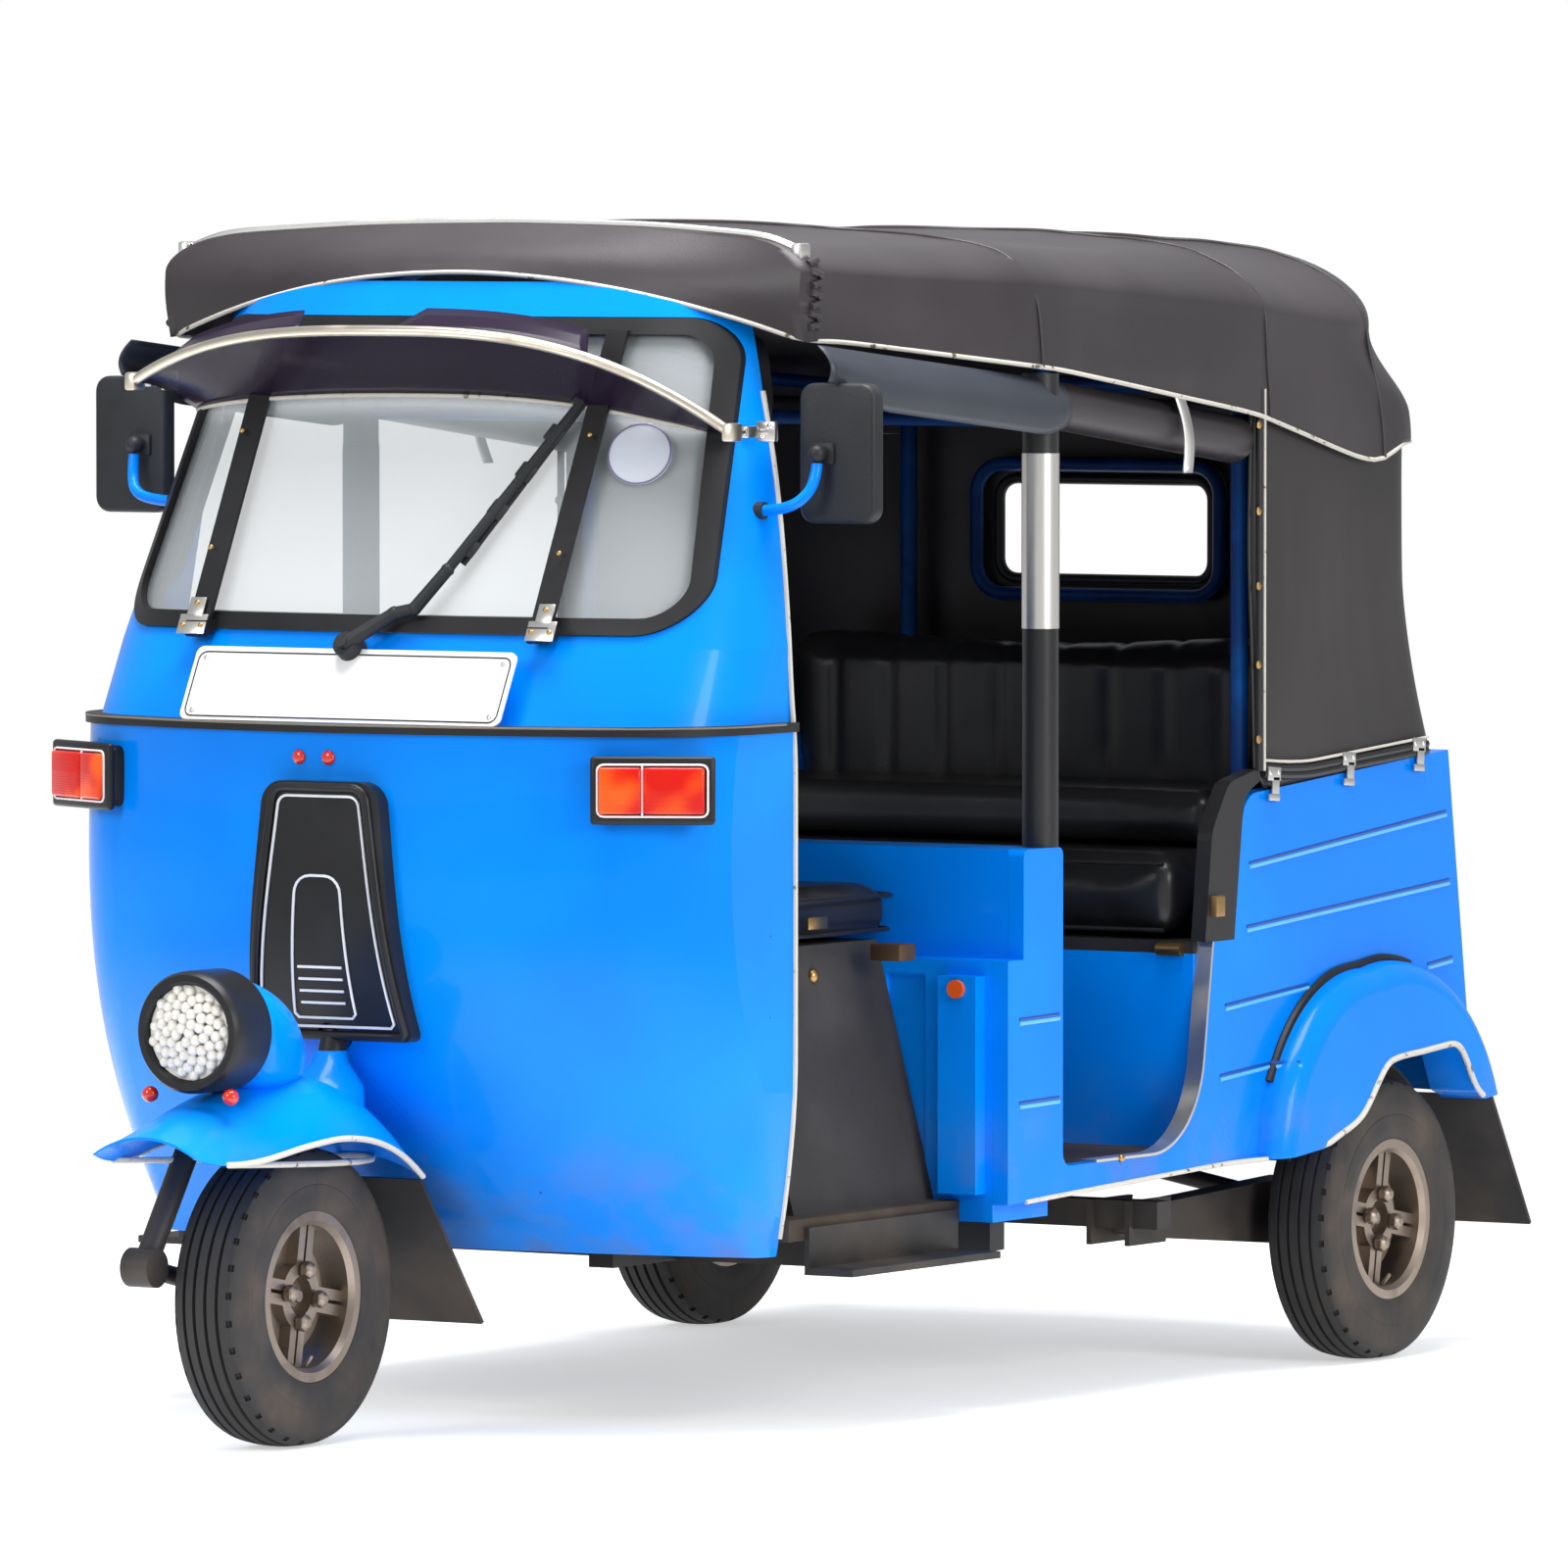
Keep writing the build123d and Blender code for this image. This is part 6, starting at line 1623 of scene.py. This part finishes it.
for side in (LEFT, RIGHT):
    for step in range(8):
        z = 1.640 - step * 0.0145
        spot, normal = touch_hood((side * 1.2, aft(0.530 - 0.010 * step / 8), z), (-side, 0, 0))
        if spot is None:
            continue
        slant = Vector((0, 0.012, 0.003 if step % 2 else -0.003))
        add_rod(puckers, spot - slant + normal * 0.001, spot + slant + normal * 0.001, 0.0055, sides=10)
        proud = spot + normal * 0.0045
        add_rod(lace, proud - slant * 0.5, proud + slant * 0.5 - Vector((0, 0, 0.007)), 0.0016, sides=8)
piece("hood_puckers", puckers, hood_vinyl, slot="vinyl")
piece("hood_lacing", lace, trim_vinyl, slot="vinyl")
latch = bmesh.new()
spot = on_front("cab_shell", 0.010, 1.548)
if spot is not None:
    add_box(latch, spot + Vector((0, -0.010, 0)), (0.034, 0.022, 0.020), 0.003)
    add_dome(latch, spot + Vector((-0.006, -0.022, 0.002)), 0.007, 0.8, (0, -1, 0), 3)
    piece("screen_latch", latch, black_plastic, slot="black_plastic")
print("rail riveted, corners laced")

# %% [markdown]
# ## Camera and studio
# A long lens from far off keeps the proportions true. The light is plain and soft: a big panel
# above, one from the front left, and a pale world that the paint and glass can reflect.

# %% Camera
azimuth, elevation, distance = math.radians(32.2), math.radians(2.8), 20.0
focus_at = Vector((0, aft(1.0), 0.8))
image_side, focal_pixels = 1600, 14230
focus_pixel = (685, 852)
back = Vector((math.sin(azimuth) * math.cos(elevation), -math.cos(azimuth) * math.cos(elevation),
               math.sin(elevation)))
across = Vector((math.cos(azimuth), math.sin(azimuth), 0))
upward = back.cross(across)
sight = (across * (image_side / 2 - focus_pixel[0]) + upward * (focus_pixel[1] - image_side / 2)
         - back * focal_pixels)
camera_data = bpy.data.cameras.new("camera")
camera_data.sensor_width = 36
camera_data.lens = focal_pixels / image_side * camera_data.sensor_width
camera_data.clip_end = 100
camera = bpy.data.objects.new("camera", camera_data)
camera.location = focus_at + back * distance
camera.rotation_euler = sight.to_track_quat("-Z", "Y").to_euler()
bpy.context.scene.collection.objects.link(camera)
bpy.context.scene.camera = camera
print("camera at", [round(v, 2) for v in camera.location])

# %% [markdown]
# The floor is white where nothing shades it. To the camera it glows a little under its own paint, and
# the glow takes over completely further out, so the floor has no visible end.

# %% Floor, world and lamps
NEAR_GLOW = 0.5
bpy.context.scene.view_settings.view_transform = "Standard"
floor_mesh = bmesh.new()
bmesh.ops.create_grid(floor_mesh, x_segments=1, y_segments=1, size=30)
floor_data = bpy.data.meshes.new("studio_floor")
floor_mesh.to_mesh(floor_data)
floor = bpy.data.objects.new("studio_floor", floor_data)
bpy.context.scene.collection.objects.link(floor)
floor_paint = Finish("studio_floor", (0.9, 0.9, 0.9), 0.9)
across_floor, along_floor = floor_paint.axis("X"), floor_paint.axis("Y")
away = (across_floor * across_floor + along_floor * along_floor).root().ramp(2.0, 4.5)
floor_paint.set("Base Color", floor_paint.mix((0.9, 0.9, 0.9), (0.0, 0.0, 0.0), away))
floor_paint.set("Specular IOR Level", 0.0)
seen = floor_paint.node("ShaderNodeLightPath", output="Is Camera Ray")
mirrored = floor_paint.node("ShaderNodeLightPath", output="Is Glossy Ray")
through = floor_paint.node("ShaderNodeLightPath", output="Is Transmission Ray")
glow = (seen + mirrored + through) * (NEAR_GLOW + away * (1 - NEAR_GLOW))
floor_paint.set("Emission Color", floor_paint.mix((0, 0, 0), (1, 1, 1), glow))
floor_paint.set("Emission Strength", 1.0)
floor_data.materials.append(floor_paint.material)

world = bpy.data.worlds.new("studio")
world.use_nodes = True
bpy.context.scene.world = world
tree = world.node_tree
shown, lit = tree.nodes["Background"], tree.nodes.new("ShaderNodeBackground")
shown.inputs["Color"].default_value = (1, 1, 1, 1)
shown.inputs["Strength"].default_value = 1.0
lit.inputs["Color"].default_value = (0.93, 0.96, 1.0, 1)
lit.inputs["Strength"].default_value = 0.5
paths, choose = tree.nodes.new("ShaderNodeLightPath"), tree.nodes.new("ShaderNodeMixShader")
tree.links.new(paths.outputs["Is Camera Ray"], choose.inputs[0])
tree.links.new(lit.outputs[0], choose.inputs[1])
tree.links.new(shown.outputs[0], choose.inputs[2])
tree.links.new(choose.outputs[0], tree.nodes["World Output"].inputs["Surface"])


def lamp(name, place, aim, size, power):
    data = bpy.data.lights.new(name, "AREA")
    data.shape, data.size, data.energy = "SQUARE", size, power
    made = bpy.data.objects.new(name, data)
    made.location = place
    made.rotation_euler = (Vector(aim) - Vector(place)).to_track_quat("-Z", "Y").to_euler()
    bpy.context.scene.collection.objects.link(made)


lamp("top_panel", (0.5, -0.6, 5.5), (0, 0, 0.8), 3.2, 460)
lamp("front_panel", (-1.5, -6.0, 3.2), (0, 0, 0.8), 2.2, 130)
lamp("side_panel", (6.0, -1.5, 2.6), (0, 0.3, 0.8), 2.2, 170)
print("studio ready")
